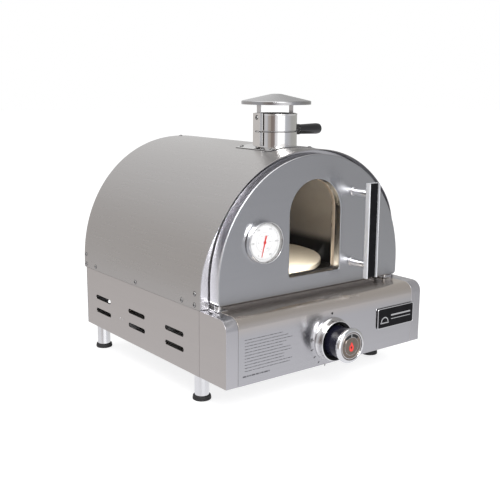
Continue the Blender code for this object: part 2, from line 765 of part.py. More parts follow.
def build_cap():
    """The cone over the tube and the two bent strips that hold it up."""
    flat = 0.008
    wall = 0.0012
    cone = [(0, CAP_APEX), (flat, CAP_APEX), (CAP_RADIUS, CAP_EDGE), (CAP_RADIUS, CAP_RIM),
            (CAP_RADIUS - wall, CAP_RIM), (CAP_RADIUS - wall, CAP_EDGE - wall),
            (flat, CAP_APEX - wall), (0, CAP_APEX - wall)]
    add_piece("chimney_cap", turned(cone, (0, CHIMNEY_Y), "Z", 36), "satin_steel")

    slope = (CAP_APEX - CAP_EDGE) / (CAP_RADIUS - flat)
    strip = 0.0014
    for name, side, face in (("cap_leg_left", -1, CHIMNEY_RADIUS + GAP),
                             ("cap_leg_right", 1, CHIMNEY_RADIUS - 0.0022 - strip)):
        inner, outer = face, face + strip
        top = CAP_EDGE - wall + (CAP_RADIUS - outer) * slope - 0.0012
        tab = inner - 0.009
        outline = [(side * outer, 0.452), (side * outer, top), (side * tab, top),
                   (side * tab, top - strip), (side * inner, top - strip), (side * inner, 0.452)]
        add_piece(name, prism_y(outline, CHIMNEY_Y - CAP_LEG_HALF, CHIMNEY_Y + CAP_LEG_HALF),
                  "satin_steel")


def build_damper(axis):
    """A round plate with an ear on the pin and an arm that ends in the grip."""
    low, high = DAMPER_Z - DAMPER_THICKNESS / 2, DAMPER_Z + DAMPER_THICKNESS / 2
    centre = (0, CHIMNEY_Y)
    plate = add_piece("damper_plate", cylinder(DAMPER_RADIUS, low, high, centre, "Z", 32),
                      "satin_steel", axis)
    ear = 0.0026
    pin = (DAMPER_PIN_X, CHIMNEY_Y)
    join(plate, cylinder(ear, low, high, pin, "Z", 16),
         box(DAMPER_PIN_X, -0.030, CHIMNEY_Y - 0.0022, CHIMNEY_Y + 0.0022, low, high),
         box(0.030, GRIP_START + 0.014, CHIMNEY_Y - 0.0048, CHIMNEY_Y + 0.0048, low, high))
    cut(plate, cylinder(DAMPER_PIN + GAP, low - 0.01, high + 0.01, pin, "Z", 12))

    nose = 0.006
    profile = [(0, GRIP_START), (GRIP_RADIUS - 0.0016, GRIP_START), (GRIP_RADIUS - 0.0006,
               GRIP_START + 0.001), (GRIP_RADIUS, GRIP_END - nose)]
    for k in range(1, 5):
        angle = math.radians(90 * k / 5)
        profile.append((GRIP_RADIUS - nose + nose * math.cos(angle),
                        GRIP_END - nose + nose * math.sin(angle)))
    profile += [(GRIP_RADIUS - nose, GRIP_END), (0, GRIP_END)]
    grip = add_piece("damper_grip", turned(profile, (CHIMNEY_Y, DAMPER_Z + 0.001), "X", 16),
                     "black_plastic", axis)
    cut(grip, box(GRIP_START - 0.01, GRIP_START + 0.0145, CHIMNEY_Y - 0.0052, CHIMNEY_Y + 0.0052,
                  low - GAP, high + GAP))


# ---------------------------------------------------------------- door

def build_door(axis):
    """The pressed outer skin with its window neck, the inner skin, the glass and the seal."""
    outer = loft([[(x, DOOR_FRONT, z) for x, z in door_outline(DOOR_EDGE)],
                  [(x, DOOR_FRONT + DOOR_EDGE * 0.3, z) for x, z in door_outline(DOOR_EDGE * 0.3)],
                  [(x, DOOR_FRONT + DOOR_EDGE, z) for x, z in door_outline(0.0)],
                  [(x, DOOR_REAR, z) for x, z in door_outline(0.0)]])
    skin = add_piece("door_shell", outer, "door_steel", axis)
    behind = DOOR_REAR + 0.02
    hollow = link_ring(door_outline(SHEET), window_outline(0.0012), DOOR_FRONT + SHEET, behind)
    cut(skin, prism_y(window_outline(0.0), DOOR_FRONT - 0.01, behind), hollow,
        prism_y(door_outline(SHEET), GLASS_FRONT - GAP, behind),
        cylinder(HINGE_POST + GAP, DOOR_BOTTOM - 0.01, DOOR_BOTTOM + 0.01, (HINGE_X, HINGE_Y), "Z", 14),
        cylinder(0.0034, DOOR_FRONT - 0.01, DOOR_FRONT + 0.01, (GAUGE_X, GAUGE_Z), "Y", 14))

    inner = add_piece("door_liner", prism_y(door_outline(SHEET + GAP), DOOR_REAR - SHEET, DOOR_REAR),
                      "satin_steel", axis)
    cut(inner, prism_y(window_outline(0.0), DOOR_REAR - 0.01, DOOR_REAR + 0.01),
        cylinder(0.0034, DOOR_REAR - 0.01, DOOR_REAR + 0.01, (GAUGE_X, GAUGE_Z), "Y", 14))

    add_piece("door_glass", prism_y(window_outline(GLASS_LIP), GLASS_FRONT, GLASS_REAR), "glass", axis)

    seal_outer = seal_outline(SEAL_WIDTH)
    seal_rear = FRONT_PLATE_Y - GAP
    add_piece("door_seal", link_ring(seal_outer, seal_outline(0.0), DOOR_REAR + GAP, seal_rear),
              "ceramic_fibre", axis)

    add_piece("hinge_sleeve", tube(SLEEVE_RADIUS, HINGE_POST + GAP, DOOR_BOTTOM + DOOR_CORNER, 0.2255,
                                   (HINGE_X, HINGE_Y), "Z", 14), "satin_steel", axis)


def seal_outline(outset):
    half = SEAL_INNER + outset
    bottom = MOUTH_BOTTOM - 0.002 - outset
    return arch_outline(half, bottom, ARCH_CENTRE, half, corner=0.006 + outset / 2)


def link_ring(outer, inner, y0, y1):
    """A solid between two closed outlines that have the same middle."""
    steps = len(outer)
    hole = resample(inner, steps)
    bm = bmesh.new()
    loops = []
    for outline, y in ((outer, y0), (outer, y1), (hole, y1), (hole, y0)):
        loops.append([bm.verts.new((x, y, z)) for x, z in outline])
    for here, there in zip(loops, loops[1:] + loops[:1]):
        for i in range(steps):
            j = (i + 1) % steps
            bm.faces.new((here[i], here[j], there[j], there[i]))
    return bm


def resample(outline, count):
    """The same outline with another number of points, spaced by their order."""
    if len(outline) == count:
        return outline
    points = []
    for k in range(count):
        place = k * (len(outline) - 1) / (count - 1)
        i = min(int(place), len(outline) - 2)
        share = place - i
        (x0, z0), (x1, z1) = outline[i], outline[i + 1]
        points.append((x0 + (x1 - x0) * share, z0 + (z1 - z0) * share))
    return points


def build_hinge_and_catch():
    """The bracket and its post under the door's left corner, and the catch under the right one."""
    floor = BASE_TOP + GAP
    plate = box(HINGE_X - 0.009, HINGE_X + 0.011, DOOR_FRONT - 0.001, FRONT_PLATE_Y - GAP, floor,
                floor + 0.002)
    bracket = add_piece("hinge_bracket", plate, "satin_steel")
    post = [(0, floor + 0.001), (0.0065, floor + 0.001), (0.0065, DOOR_BOTTOM - GAP),
            (HINGE_POST, DOOR_BOTTOM - GAP), (HINGE_POST, HINGE_TOP - 0.001),
            (HINGE_POST - 0.001, HINGE_TOP), (0, HINGE_TOP)]
    join(bracket, turned(post, (HINGE_X, HINGE_Y), "Z", 14))

    catch = add_piece("door_catch", box(CATCH_X - 0.008, CATCH_X + 0.008, -0.170, FRONT_PLATE_Y - GAP,
                                        floor, floor + 0.002), "satin_steel")
    join(catch, cylinder(0.0045, floor + 0.001, DOOR_BOTTOM - GAP, (CATCH_X, -0.163), "Z", 14))


def build_handle(axis):
    """A bright channel on two posts with a dark grip strip let into it."""
    left, right = HANDLE_X - HANDLE_WIDTH / 2, HANDLE_X + HANDLE_WIDTH / 2
    low, high = HANDLE_Z
    rear = HANDLE_FRONT + HANDLE_DEPTH
    bar = add_piece("handle_bar", prism_z([(left, HANDLE_FRONT + 0.0015), (left + 0.0015, HANDLE_FRONT),
                                           (right - 0.0015, HANDLE_FRONT),
                                           (right, HANDLE_FRONT + 0.0015), (right, rear - 0.003),
                                           (right - 0.003, rear), (left + 0.003, rear),
                                           (left, rear - 0.003)], low, high), "chrome", axis)
    pocket = HANDLE_FRONT + HANDLE_POCKET
    cut(bar, box(left + HANDLE_WALL, right - HANDLE_WALL, HANDLE_FRONT - 0.01, pocket, low + 0.002,
                 high - 0.002))
    outline = rounded_rectangle(left + HANDLE_WALL + GAP, right - HANDLE_WALL - GAP,
                                low + 0.002 + GAP, high - 0.002 - GAP, 0.001, 2)
    add_piece("handle_insert", prism_y(outline, HANDLE_FRONT + INSERT_SET_BACK, pocket - GAP), "black_plastic",
              axis)
    for name, z in (("handle_post_lower", POST_Z[0]), ("handle_post_upper", POST_Z[1])):
        profile = [(0, DOOR_FRONT - GAP), (POST_RADIUS + 0.0015, DOOR_FRONT - GAP),
                   (POST_RADIUS + 0.0015, DOOR_FRONT - 0.002), (POST_RADIUS, DOOR_FRONT - 0.0035),
                   (POST_RADIUS, rear + GAP), (0, rear + GAP)]
        add_piece(name, turned(profile, (HANDLE_X, z), "Y", 20), "chrome", axis)


def build_thermometer(door_axis, needle_axis):
    centre = (GAUGE_X, GAUGE_Z)
    back = DOOR_FRONT - GAP
    case = [(0.0023, back), (GAUGE_RADIUS - 0.002, back), (GAUGE_RADIUS, back - 0.002),
            (GAUGE_RADIUS, GAUGE_FRONT + 0.0020), (GAUGE_RADIUS - 0.0009, GAUGE_FRONT),
            (GAUGE_RADIUS - 0.0017, GAUGE_FRONT), (DIAL_RADIUS + GAP, GAUGE_FRONT + 0.0012),
            (DIAL_RADIUS + GAP, back - 0.0015), (0.0023, back - 0.0015)]
    add_piece("thermometer_case", turned(case, centre, "Y", 28), "chrome", door_axis)
    add_piece("thermometer_dial", tube(DIAL_RADIUS, 0.0015, DIAL_Y, DIAL_Y + 0.0008, centre, "Y", 28),
              "white_enamel", door_axis)
    add_piece("thermometer_lens", cylinder(DIAL_RADIUS, -0.1862, -0.1852, centre, "Y", 28), "glass",
              door_axis)
    add_piece("thermometer_probe", turned([(0, DOOR_FRONT - 0.0001), (0.0030, DOOR_FRONT - 0.0001),
                                           (0.0030, PROBE_END - 0.003), (0.0018, PROBE_END),
                                           (0, PROBE_END)], centre, "Y", 12), "satin_steel",
              door_axis)

    hub = turned([(0, DIAL_Y - 0.0022), (0.0024, DIAL_Y - 0.0022), (0.0024, DIAL_Y - 0.0010),
                  (0.0010, DIAL_Y - 0.0010), (0.0010, DIAL_Y + 0.0006), (0, DIAL_Y + 0.0006)],
                 centre, "Y", 16)
    needle = add_piece("thermometer_needle", hub, "red_paint", needle_axis)
    length, tail, root, tip = 0.0250, 0.0115, 0.0014, 0.0005
    blade = []
    for across, along in ((-root, -tail), (root, -tail), (tip, length), (-tip, length)):
        x = across * math.cos(NEEDLE_REST) + along * math.sin(NEEDLE_REST)
        z = -across * math.sin(NEEDLE_REST) + along * math.cos(NEEDLE_REST)
        blade.append((GAUGE_X + x, GAUGE_Z + z))
    join(needle, prism_y(blade, DIAL_Y - 0.0018, DIAL_Y - 0.0012))


def build_oven():
    clear_scene()
    door_axis = add_axis("door_hinge_axis", DOOR_AXIS)
    needle_axis = add_axis("needle_axis", GAUGE_AXIS, door_axis)
    damper_axis = add_axis("damper_axis", DAMPER_AXIS)
    push_axis = add_axis("knob_push_axis", KNOB_AXIS)
    turn_axis = add_axis("knob_turn_axis", KNOB_AXIS, push_axis)

    build_base_sides()
    build_base_rear_panel()
    build_base_floor_pan()
    build_control_panel()
    build_panel_ends()
    build_legs()
    build_dome_shell()
    build_dome_rear_panel()
    build_front_plate()
    build_cavity()
    build_stone()
    build_burner()
    build_valve()
    build_gas_line()
    build_probes()
    build_knob(push_axis, turn_axis)
    build_name_plate()
    build_chimney()
    build_damper(damper_axis)
    build_door(door_axis)
    build_hinge_and_catch()
    build_handle(door_axis)
    build_thermometer(door_axis, needle_axis)


build_oven()
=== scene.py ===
"""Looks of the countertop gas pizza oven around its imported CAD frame.

Metres with +Z up, the door facing -Y, left and right as seen by someone in front of the oven.
"""

import json
from math import copysign, cos, pi, radians, sin, sqrt, tan

import bmesh
import bpy
from mathutils import Matrix, Vector
from mathutils.geometry import tessellate_polygon

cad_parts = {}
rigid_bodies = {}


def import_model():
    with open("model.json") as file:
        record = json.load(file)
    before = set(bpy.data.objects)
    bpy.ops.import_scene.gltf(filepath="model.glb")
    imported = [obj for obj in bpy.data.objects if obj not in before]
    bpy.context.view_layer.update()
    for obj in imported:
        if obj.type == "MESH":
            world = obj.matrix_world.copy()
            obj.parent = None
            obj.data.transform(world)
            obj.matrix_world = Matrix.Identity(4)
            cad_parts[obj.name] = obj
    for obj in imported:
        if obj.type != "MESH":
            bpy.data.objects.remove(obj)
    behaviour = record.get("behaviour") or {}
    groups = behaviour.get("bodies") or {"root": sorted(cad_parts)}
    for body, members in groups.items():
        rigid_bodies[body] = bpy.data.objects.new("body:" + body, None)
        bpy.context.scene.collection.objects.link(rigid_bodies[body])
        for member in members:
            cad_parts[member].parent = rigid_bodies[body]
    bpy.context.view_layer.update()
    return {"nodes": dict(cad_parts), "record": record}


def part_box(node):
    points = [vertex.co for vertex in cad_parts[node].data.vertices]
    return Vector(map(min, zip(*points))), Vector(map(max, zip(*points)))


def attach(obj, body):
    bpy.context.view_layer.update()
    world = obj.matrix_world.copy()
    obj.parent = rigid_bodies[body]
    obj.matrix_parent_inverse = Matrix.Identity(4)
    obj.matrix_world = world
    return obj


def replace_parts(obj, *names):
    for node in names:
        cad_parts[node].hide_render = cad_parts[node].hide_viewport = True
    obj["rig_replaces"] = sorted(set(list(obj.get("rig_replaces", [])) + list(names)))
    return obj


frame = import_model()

BODY_OF = {node: body for body, members in frame["record"]["behaviour"]["bodies"].items()
           for node in members}
SLOT_OF = {part["node"]: part["material_slot"] for part in frame["record"]["subparts"]}

# Shading and fine edges
SHARP_TURN = radians(34)
ROUND_TURN = radians(12)
BEVEL_TURN = radians(35)
FLAT_TURN = radians(0.2)
WELD = 1e-5
EDGE = 0.0005
AROUND = 72
ARCH_STEPS = 96

# Sheet and arches, as the frame has them
SHEET = 0.0015
WALL = 0.0012
DOME_SPRING = 0.177
DOME_POWER = 2.1
HOOD_LOW_Z = 0.215
HOOD_HIGH_Z = 0.33
HOOD_LOW_Y = -0.153
ARCH_CENTRE = 0.2026
WINDOW_CENTRE = 0.3078
WINDOW_CORNER = 0.004
DOOR_CORNER = 0.007
DOOR_EDGE = 0.002
GLASS_FRONT = -0.16
FLUE_RADIUS = 0.0384

HALF_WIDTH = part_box("base_side_right")[1].x
PANEL_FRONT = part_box("control_panel")[0].y
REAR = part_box("base_rear_panel")[1].y
DOME_LOW, DOME_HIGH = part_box("dome_shell")
DOME_RISE = DOME_HIGH.z - DOME_SPRING
DOOR_LOW, DOOR_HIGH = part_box("door_shell")
WINDOW_LOW, WINDOW_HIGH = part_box("door_glass")
GLASS_LIP = 0.009
WINDOW_HALF = WINDOW_HIGH.x - GLASS_LIP
WINDOW_BOTTOM = WINDOW_LOW.z + GLASS_LIP


def middle(node):
    low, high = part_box(node)
    return (low + high) / 2


def measure(node):
    """A node's lowest corner, highest corner and middle, and half its width."""
    low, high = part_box(node)
    return low, high, (low + high) / 2, (high.x - low.x) / 2


KNOB = middle("knob_bezel")
GAUGE = middle("thermometer_case")
CHIMNEY = middle("chimney_cap")


# ---- outlines

def fillet(outline, radius=EDGE, steps=3):
    """A closed outline with its corners rounded. A third number is a corner's own radius."""
    rounded = []
    for i, corner in enumerate(outline):
        here = Vector(corner[:2])
        before = Vector(outline[i - 1][:2]) - here
        after = Vector(outline[(i + 1) % len(outline)][:2]) - here
        wanted = corner[2] if len(corner) > 2 else radius
        turn = pi - before.angle(after)
        if wanted == 0 or turn < ROUND_TURN:
            rounded.append((here.x, here.y))
            continue
        reach = min(wanted * tan(turn / 2), 0.48 * before.length, 0.48 * after.length)
        start = here + before.normalized() * reach
        end = here + after.normalized() * reach
        for k in range(steps + 1):
            t = k / steps
            point = start * (1 - t) ** 2 + here * (2 * t * (1 - t)) + end * t ** 2
            rounded.append((point.x, point.y))
    return rounded


def arch_outline(half, bottom, spring, rise, power=2.0, corner=0.0, steps=ARCH_STEPS):
    """An arch in X and Z, from its bottom left over the top to its bottom right."""
    left = [(-half, bottom)]
    if corner > 0:
        angles = [radians(270 - 15 * k) for k in range(7)]
        left = [(corner - half + corner * cos(t), bottom + corner + corner * sin(t))
                for t in angles]
    top = []
    for i in range(steps + 1):
        angle = pi * (1 - i / steps)
        across = copysign(abs(cos(angle)) ** (2 / power), cos(angle))
        top.append((half * across, spring + rise * max(0.0, sin(angle)) ** (2 / power)))
    right = [(-x, z) for x, z in reversed(left)]
    return left + top + right


def dome_outline(inset):
    return arch_outline(DOME_HIGH.x - inset, DOME_LOW.z + 0.0004, DOME_SPRING, DOME_RISE - inset,
                        DOME_POWER)


def door_outline(inset):
    half = DOOR_HIGH.x - inset
    corner = DOOR_CORNER - min(inset, DOOR_CORNER - 0.001)
    return arch_outline(half, DOOR_LOW.z + inset, ARCH_CENTRE, half, corner=corner)


def window_outline(outset):
    half = WINDOW_HALF + outset
    return arch_outline(half, WINDOW_BOTTOM - outset, WINDOW_CENTRE, half,
                        corner=WINDOW_CORNER + outset, steps=36)


def rectangle(x0, x1, z0, z1):
    return [(x0, z0), (x1, z0), (x1, z1), (x0, z1)]


def rounded_rectangle(x0, x1, z0, z1, radius):
    return fillet(rectangle(x0, x1, z0, z1), radius, 5)


def ring_outline(centre, radius, steps=24):
    return [(centre[0] + radius * cos(2 * pi * k / steps),
             centre[1] + radius * sin(2 * pi * k / steps)) for k in range(steps)]


def quarter_turn(steps):
    """Cosine and sine over a quarter turn."""
    return [(cos(t), sin(t)) for t in (radians(90 * k / steps)
                                                 for k in range(steps + 1))]


def radial_bar(centre, degrees, start, end, width):
    """A short bar that points away from a centre. Degrees run clockwise from the top."""
    turn = radians(degrees)
    out = Vector((sin(turn), cos(turn)))
    side = Vector((out.y, -out.x)) * width / 2
    middle_point = Vector(centre)
    corners = (out * start - side, out * start + side, out * end + side, out * end - side)
    return [tuple(middle_point + corner) for corner in corners]


# ---- solids

def mesh_from(name, bm):
    mesh = bpy.data.meshes.new(name)
    bm.to_mesh(mesh)
    bm.free()
    return mesh


def at_depth(outline, y):
    return [(x, y, z) for x, z in outline]


def join_rings(bm, rings):
    """Faces between each ring of vertices and the next."""
    for ring, after in zip(rings, rings[1:]):
        for i in range(len(ring)):
            j = (i + 1) % len(ring)
            bm.faces.new((ring[i], ring[j], after[j], after[i]))


def loft(loops, closed=False):
    """A solid through loops of points. A closed one joins its last loop to its first."""
    bm = bmesh.new()
    rings = [[bm.verts.new(point) for point in loop] for loop in loops]
    join_rings(bm, rings + rings[:1] if closed else rings)
    if not closed:
        bm.faces.new(rings[0])
        bm.faces.new(rings[-1])
    return bm


def prism_y(outline, y0, y1):
    return loft([at_depth(outline, y) for y in (y0, y1)])


def frame_y(outline_at, section):
    """A closed frame that faces -Y. Its section is given as (inset, Y)."""
    return loft([at_depth(outline_at(inset), y) for inset, y in section], closed=True)


def box(x0, x1, y0, y1, z0, z1):
    return prism_y(rectangle(x0, x1, z0, z1), y0, y1)


def turned(profile, centre, axis, segments=AROUND):
    """Turn a profile of (radius, place along the axis) about an axis through a point."""
    bm = bmesh.new()
    a, b = [i for i in range(3) if i != "XYZ".index(axis)]
    columns = []
    for k in range(segments):
        angle = 2 * pi * (k + 0.5) / segments
        column = []
        for i, (radius, along) in enumerate(profile):
            if radius == 0 and k > 0:
                column.append(columns[0][i])
                continue
            point = [along] * 3
            point[a] = centre[a] + radius * cos(angle)
            point[b] = centre[b] + radius * sin(angle)
            column.append(bm.verts.new(point))
        columns.append(column)
    for k in range(segments):
        here, there = columns[k], columns[(k + 1) % segments]
        for i in range(len(profile)):
            j = (i + 1) % len(profile)
            corners = list(dict.fromkeys((here[i], here[j], there[j], there[i])))
            if len(corners) > 2:
                bm.faces.new(corners)
    return bm


def lathe(corners, centre, axis, radius=EDGE, segments=AROUND, steps=3):
    """Turn a profile whose corners off the axis are rounded first."""
    profile = [(r, s, 0) if r == 0 else (r, s, *own) for r, s, *own in corners]
    return turned(fillet(profile, radius, steps), centre, axis, segments)


def plate_with_hole(bm, outer, inner):
    """Fill the flat area between an outer and an inner loop of vertices."""
    corners = outer + inner
    for triangle in tessellate_polygon([[v.co for v in outer], [v.co for v in inner]]):
        bm.faces.new([corners[i] for i in triangle])


def merged(*solids):
    """Several separate solids in one mesh."""
    whole = bmesh.new()
    for solid in solids:
        mesh = mesh_from("part", solid)
        whole.from_mesh(mesh)
        bpy.data.meshes.remove(mesh)
    return whole


# ---- pieces

def placed(name, data):
    thing = bpy.data.objects.new(name, data)
    bpy.context.scene.collection.objects.link(thing)
    return thing


def smooth(mesh):
    """Smooth shading but for the sharp edges."""
    mesh.shade_smooth()
    mesh.set_sharp_from_angle(angle=SHARP_TURN)


def solid_mesh(name, bm):
    bmesh.ops.recalc_face_normals(bm, faces=bm.faces)
    mesh = mesh_from(name, bm)
    smooth(mesh)
    return mesh


def ride(name, mesh, slot, body, finish=None):
    thing = placed(name, mesh)
    mesh.materials.append(FINISH[finish or slot])
    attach(thing, body)
    return thing


def flatten_shading(thing):
    """Let large flat faces rule the normals, so that only the rounded edges catch the light."""
    thing.modifiers.new("flat_faces", "WEIGHTED_NORMAL").keep_sharp = True


def add_piece(name, bm, slot="black_plastic", body="oven_body", finish=None):
    """One detailed piece that rides on a body."""
    thing = ride(name, solid_mesh(name, bm), slot, body, finish)
    flatten_shading(thing)
    return thing


def stand_in(node, name, bm, finish=None):
    """One detailed piece in place of a CAD node, on that node's body."""
    thing = add_piece(name, bm, SLOT_OF[node], BODY_OF[node], finish)
    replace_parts(thing, node)
    return thing


def applied_mesh(thing):
    """A piece's mesh as its modifiers leave it."""
    bpy.context.view_layer.update()
    graph = bpy.context.evaluated_depsgraph_get()
    return bpy.data.meshes.new_from_object(thing.evaluated_get(graph))


def cut(thing, *tools):
    """Cut closed shapes out of a piece and keep the result as its mesh."""
    for tool in tools:
        cutter = placed("cutter", solid_mesh("cutter", tool))
        modifier = thing.modifiers.new("cut", "BOOLEAN")
        modifier.operation = "DIFFERENCE"
        modifier.solver = "EXACT"
        modifier.object = cutter
        for other in list(thing.modifiers):
            if other.type == "WEIGHTED_NORMAL":
                thing.modifiers.remove(other)
        thing.data = applied_mesh(thing)
        thing.modifiers.remove(modifier)
        bpy.data.objects.remove(cutter)
    smooth(thing.data)
    flatten_shading(thing)


def refined(node, bevel=0.0003, finish=None):
    """The CAD node's own shape with its edges broken, for a piece that needs no new form."""
    bm = bmesh.new()
    bm.from_mesh(frame["nodes"][node].data)
    bmesh.ops.remove_doubles(bm, verts=bm.verts, dist=WELD)
    bmesh.ops.dissolve_limit(bm, angle_limit=FLAT_TURN, verts=bm.verts, edges=bm.edges)
    mesh = mesh_from(node, bm)
    for attribute in ("custom_normal", "sharp_face", "sharp_edge"):
        if attribute in mesh.attributes:
            mesh.attributes.remove(mesh.attributes[attribute])
    mesh.materials.clear()
    mesh.shade_smooth()
    thing = ride(f"{node}_finished", mesh, SLOT_OF[node], BODY_OF[node], finish)
    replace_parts(thing, node)
    if bevel > 0:
        rounding = thing.modifiers.new("broken_edges", "BEVEL")
        rounding.width = bevel
        rounding.segments = 2
        rounding.limit_method = "ANGLE"
        rounding.angle_limit = BEVEL_TURN
    flatten_shading(thing)
    return thing


# ---- materials

def add_node(tree, kind, inputs=None, **settings):
    """A shader node whose inputs take a value or the output of another node."""
    node = tree.nodes.new(f"ShaderNode{kind}")
    for name, value in settings.items():
        setattr(node, name, value)
    for socket, value in (inputs or {}).items():
        if isinstance(value, bpy.types.NodeSocket):
            tree.links.new(value, node.inputs[socket])
        else:
            node.inputs[socket].default_value = value
    return node


def shader_of(material):
    return material.node_tree.nodes["Principled BSDF"]


def drive(material, socket, source):
    material.node_tree.links.new(source, shader_of(material).inputs[socket])


def new_material(name, colour, roughness, metallic=0.0, sockets=None):
    """A Principled material whose uniform values sit on the shader's own sockets."""
    material = bpy.data.materials.new(name)
    material.use_nodes = True
    values = {"Base Color": (*colour, 1.0), "Roughness": roughness, "Metallic": metallic}
    for socket, value in {**values, **(sockets or {})}.items():
        shader_of(material).inputs[socket].default_value = value
    return material


def texture(material, kind, output, scale, stretch=(1, 1, 1), **inputs):
    """A texture in the piece's own metres. Scale is the number of grains in a metre."""
    tree = material.node_tree
    place = add_node(tree, "TexCoord").outputs["Object"]
    mapping = add_node(tree, "Mapping", {"Vector": place, "Scale": stretch})
    inputs.update({"Vector": mapping.outputs["Vector"], "Scale": scale})
    return add_node(tree, f"Tex{kind}", inputs).outputs[output]


def noise(material, scale, detail=2.0, stretch=(1, 1, 1)):
    return texture(material, "Noise", "Fac", scale, stretch, Detail=detail)


def spread(material, source, low, high, start=0.3, end=0.7):
    """A source's usual range, start to end, laid out from low to high."""
    limits = {"Value": source, "From Min": start, "From Max": end, "To Min": low, "To Max": high}
    return add_node(material.node_tree, "MapRange", limits).outputs["Result"]


def colour_ramp(tree, source, stops):
    """Colours along a source, as (position, colour)."""
    ramp = add_node(tree, "ValToRGB", {"Fac": source})
    elements = ramp.color_ramp.elements
    while len(elements) < len(stops):
        elements.new(0.5)
    for element, (position, colour) in zip(elements, stops):
        element.position = position
        element.color = (*colour, 1.0)
    return ramp.outputs["Color"]


def tint(material, source, *colours):
    """Colour the surface along a ramp."""
    stops = [(i / (len(colours) - 1), colour) for i, colour in enumerate(colours)]
    share = spread(material, source, 0, 1)
    drive(material, "Base Color", colour_ramp(material.node_tree, share, stops))


def smooth_step(tree, source, start, end):
    limits = {"Value": source, "From Min": start, "From Max": end}
    return add_node(tree, "MapRange", limits, interpolation_type="SMOOTHSTEP").outputs["Result"]


def mix_colour(tree, share, first, second):
    inputs = {"Factor": share, "A": first, "B": second}
    return add_node(tree, "Mix", inputs, data_type="RGBA").outputs["Result"]


def fade(material, axis, start, end, colour):
    """Let the surface's colour pass into another along an axis of the piece."""
    tree = material.node_tree
    place = add_node(tree, "TexCoord").outputs["Object"]
    along = add_node(tree, "SeparateXYZ", {"Vector": place}).outputs[axis]
    base = shader_of(material).inputs["Base Color"].links[0].from_socket
    share = smooth_step(tree, along, start, end)
    drive(material, "Base Color", mix_colour(tree, share, base, (*colour, 1.0)))


def roughen(material, source, low, high):
    drive(material, "Roughness", spread(material, source, low, high))


def bump(material, source, height):
    """Relief of a height in metres, added to any relief that is there already."""
    inputs = {"Height": source, "Distance": height}
    normal = shader_of(material).inputs["Normal"]
    if normal.is_linked:
        inputs["Normal"] = normal.links[0].from_socket
    relief = add_node(material.node_tree, "Bump", inputs)
    drive(material, "Normal", relief.outputs["Normal"])


def shaded(colour, share):
    return tuple(min(1.0, channel * share) for channel in colour)


def surface(name, colour, roughness, metallic, tints, sheen, *reliefs, sockets=None):
    """A material whose colour, roughness and relief follow noise.

    Tints are a noise and its colours, or a noise and the two shares of the base colour that it
    runs between. Sheen is a noise and two shares of the roughness, a relief a noise and a height.
    """
    material = new_material(name, colour, roughness, metallic, sockets)
    grain, *colours = tints
    colours = [c if isinstance(c, tuple) else shaded(colour, c) for c in colours]
    tint(material, noise(material, *grain), *colours)
    if sheen:
        grain, low, high = sheen
        roughen(material, noise(material, *grain), roughness * low, roughness * high)
    for grain, height in reliefs:
        bump(material, noise(material, *grain), height)
    return material


def brushed(name, colour, roughness, grain, anisotropy=0.75):
    """Brushed sheet: fine lines and long streaks along one axis, and a faint waviness.

    Grain is that axis, and after it any axis that the sheet's bent rims run along.
    """
    line, streak = ([share if axis in grain else 1.0 for axis in "XYZ"] for share in (0.006, 0.04))
    material = surface(name, colour, roughness, 1.0, ((190, 3.0, streak), 0.991, 1.009),
                       ((420, 2.0, streak), 0.97, 1.03), ((900, 0.0, line), 4e-7),
                       ((7, 1.0), 0.00022), sockets={"Anisotropic": anisotropy})
    tangent = add_node(material.node_tree, "Tangent", direction_type="RADIAL", axis=grain[0])
    drive(material, "Tangent", tangent.outputs["Tangent"])
    return material


def plated(name, colour, roughness, blotch=25, contrast=0.03, relief=6e-6, unevenness=0.2):
    """Bright or dull plating with faint cloudiness and a soft ripple."""
    return surface(name, colour, roughness, 1.0, ((blotch, 4.0), 1 - contrast, 1 + contrast),
                   ((blotch * 3, 3.0), 1 - unevenness, 1 + unevenness), ((90, 1.0), relief))


def heat_tint_and_painted_light():
    """Blotchy brown and straw coloured steel, partly heat tint and partly a painted reflection of
    the warm stone, going near black towards the deck as painted shade.
    """
    brown, straw, pale = (0.36, 0.32, 0.29), (0.47, 0.425, 0.385), (0.56, 0.51, 0.46)
    material = surface("heat_tint_and_painted_light_steel", (0.47, 0.42, 0.38), 0.45, 0.6,
                       ((9, 5.0, (1, 0.4, 1)), brown, straw, pale), ((60, 3.0), 0.8, 0.55 / 0.45),
                       ((700, 1.0, (1, 0.02, 1)), 3e-5))
    # Near black towards the deck: painted shade.
    fade(material, "Z", 0.226, 0.204, (0.035, 0.032, 0.031))
    return material


def cordierite():
    cream = (0.8, 0.7, 0.565)
    material = surface("cordierite_stone", cream, 0.9, 0.0, (
        (240, 4.0, (0.05, 1, 1)), (0.76, 0.66, 0.53), cream, (0.84, 0.745, 0.605)), None)
    pores = texture(material, "Voronoi", "Distance", 520)
    bump(material, spread(material, pores, 0, 1, 0.0, 0.45), 0.00016)
    bump(material, noise(material, 1100, 3.0), 6e-5)
    return material


def woven_fibre():
    return surface("woven_fibre", (0.74, 0.7, 0.62), 0.95, 0.0,
                   ((260, 4.0), (0.6, 0.56, 0.48), (0.8, 0.77, 0.7)), None,
                   ((900, 2.0, (1, 1, 0.4)), 0.0004))


def moulded(name, colour, roughness, grain_height, coat=0.0, shine=0.5):
    """Moulded rubber or plastic with a fine grain and slight wear in its sheen."""
    coating = {"Coat Weight": coat, "Coat Roughness": 0.08, "Specular IOR Level": shine}
    return surface(name, colour, roughness, 0.0, ((70, 4.0), 0.8, 1.5), ((130, 3.0), 0.8, 1.25),
                   ((2200,), grain_height), sockets=coating)


def painted(name, colour, roughness):
    return surface(name, colour, roughness, 0.0, ((90, 3.0), 0.94, 1.04), ((240,), 0.85, 1.15),
                   ((1500,), 1e-5))


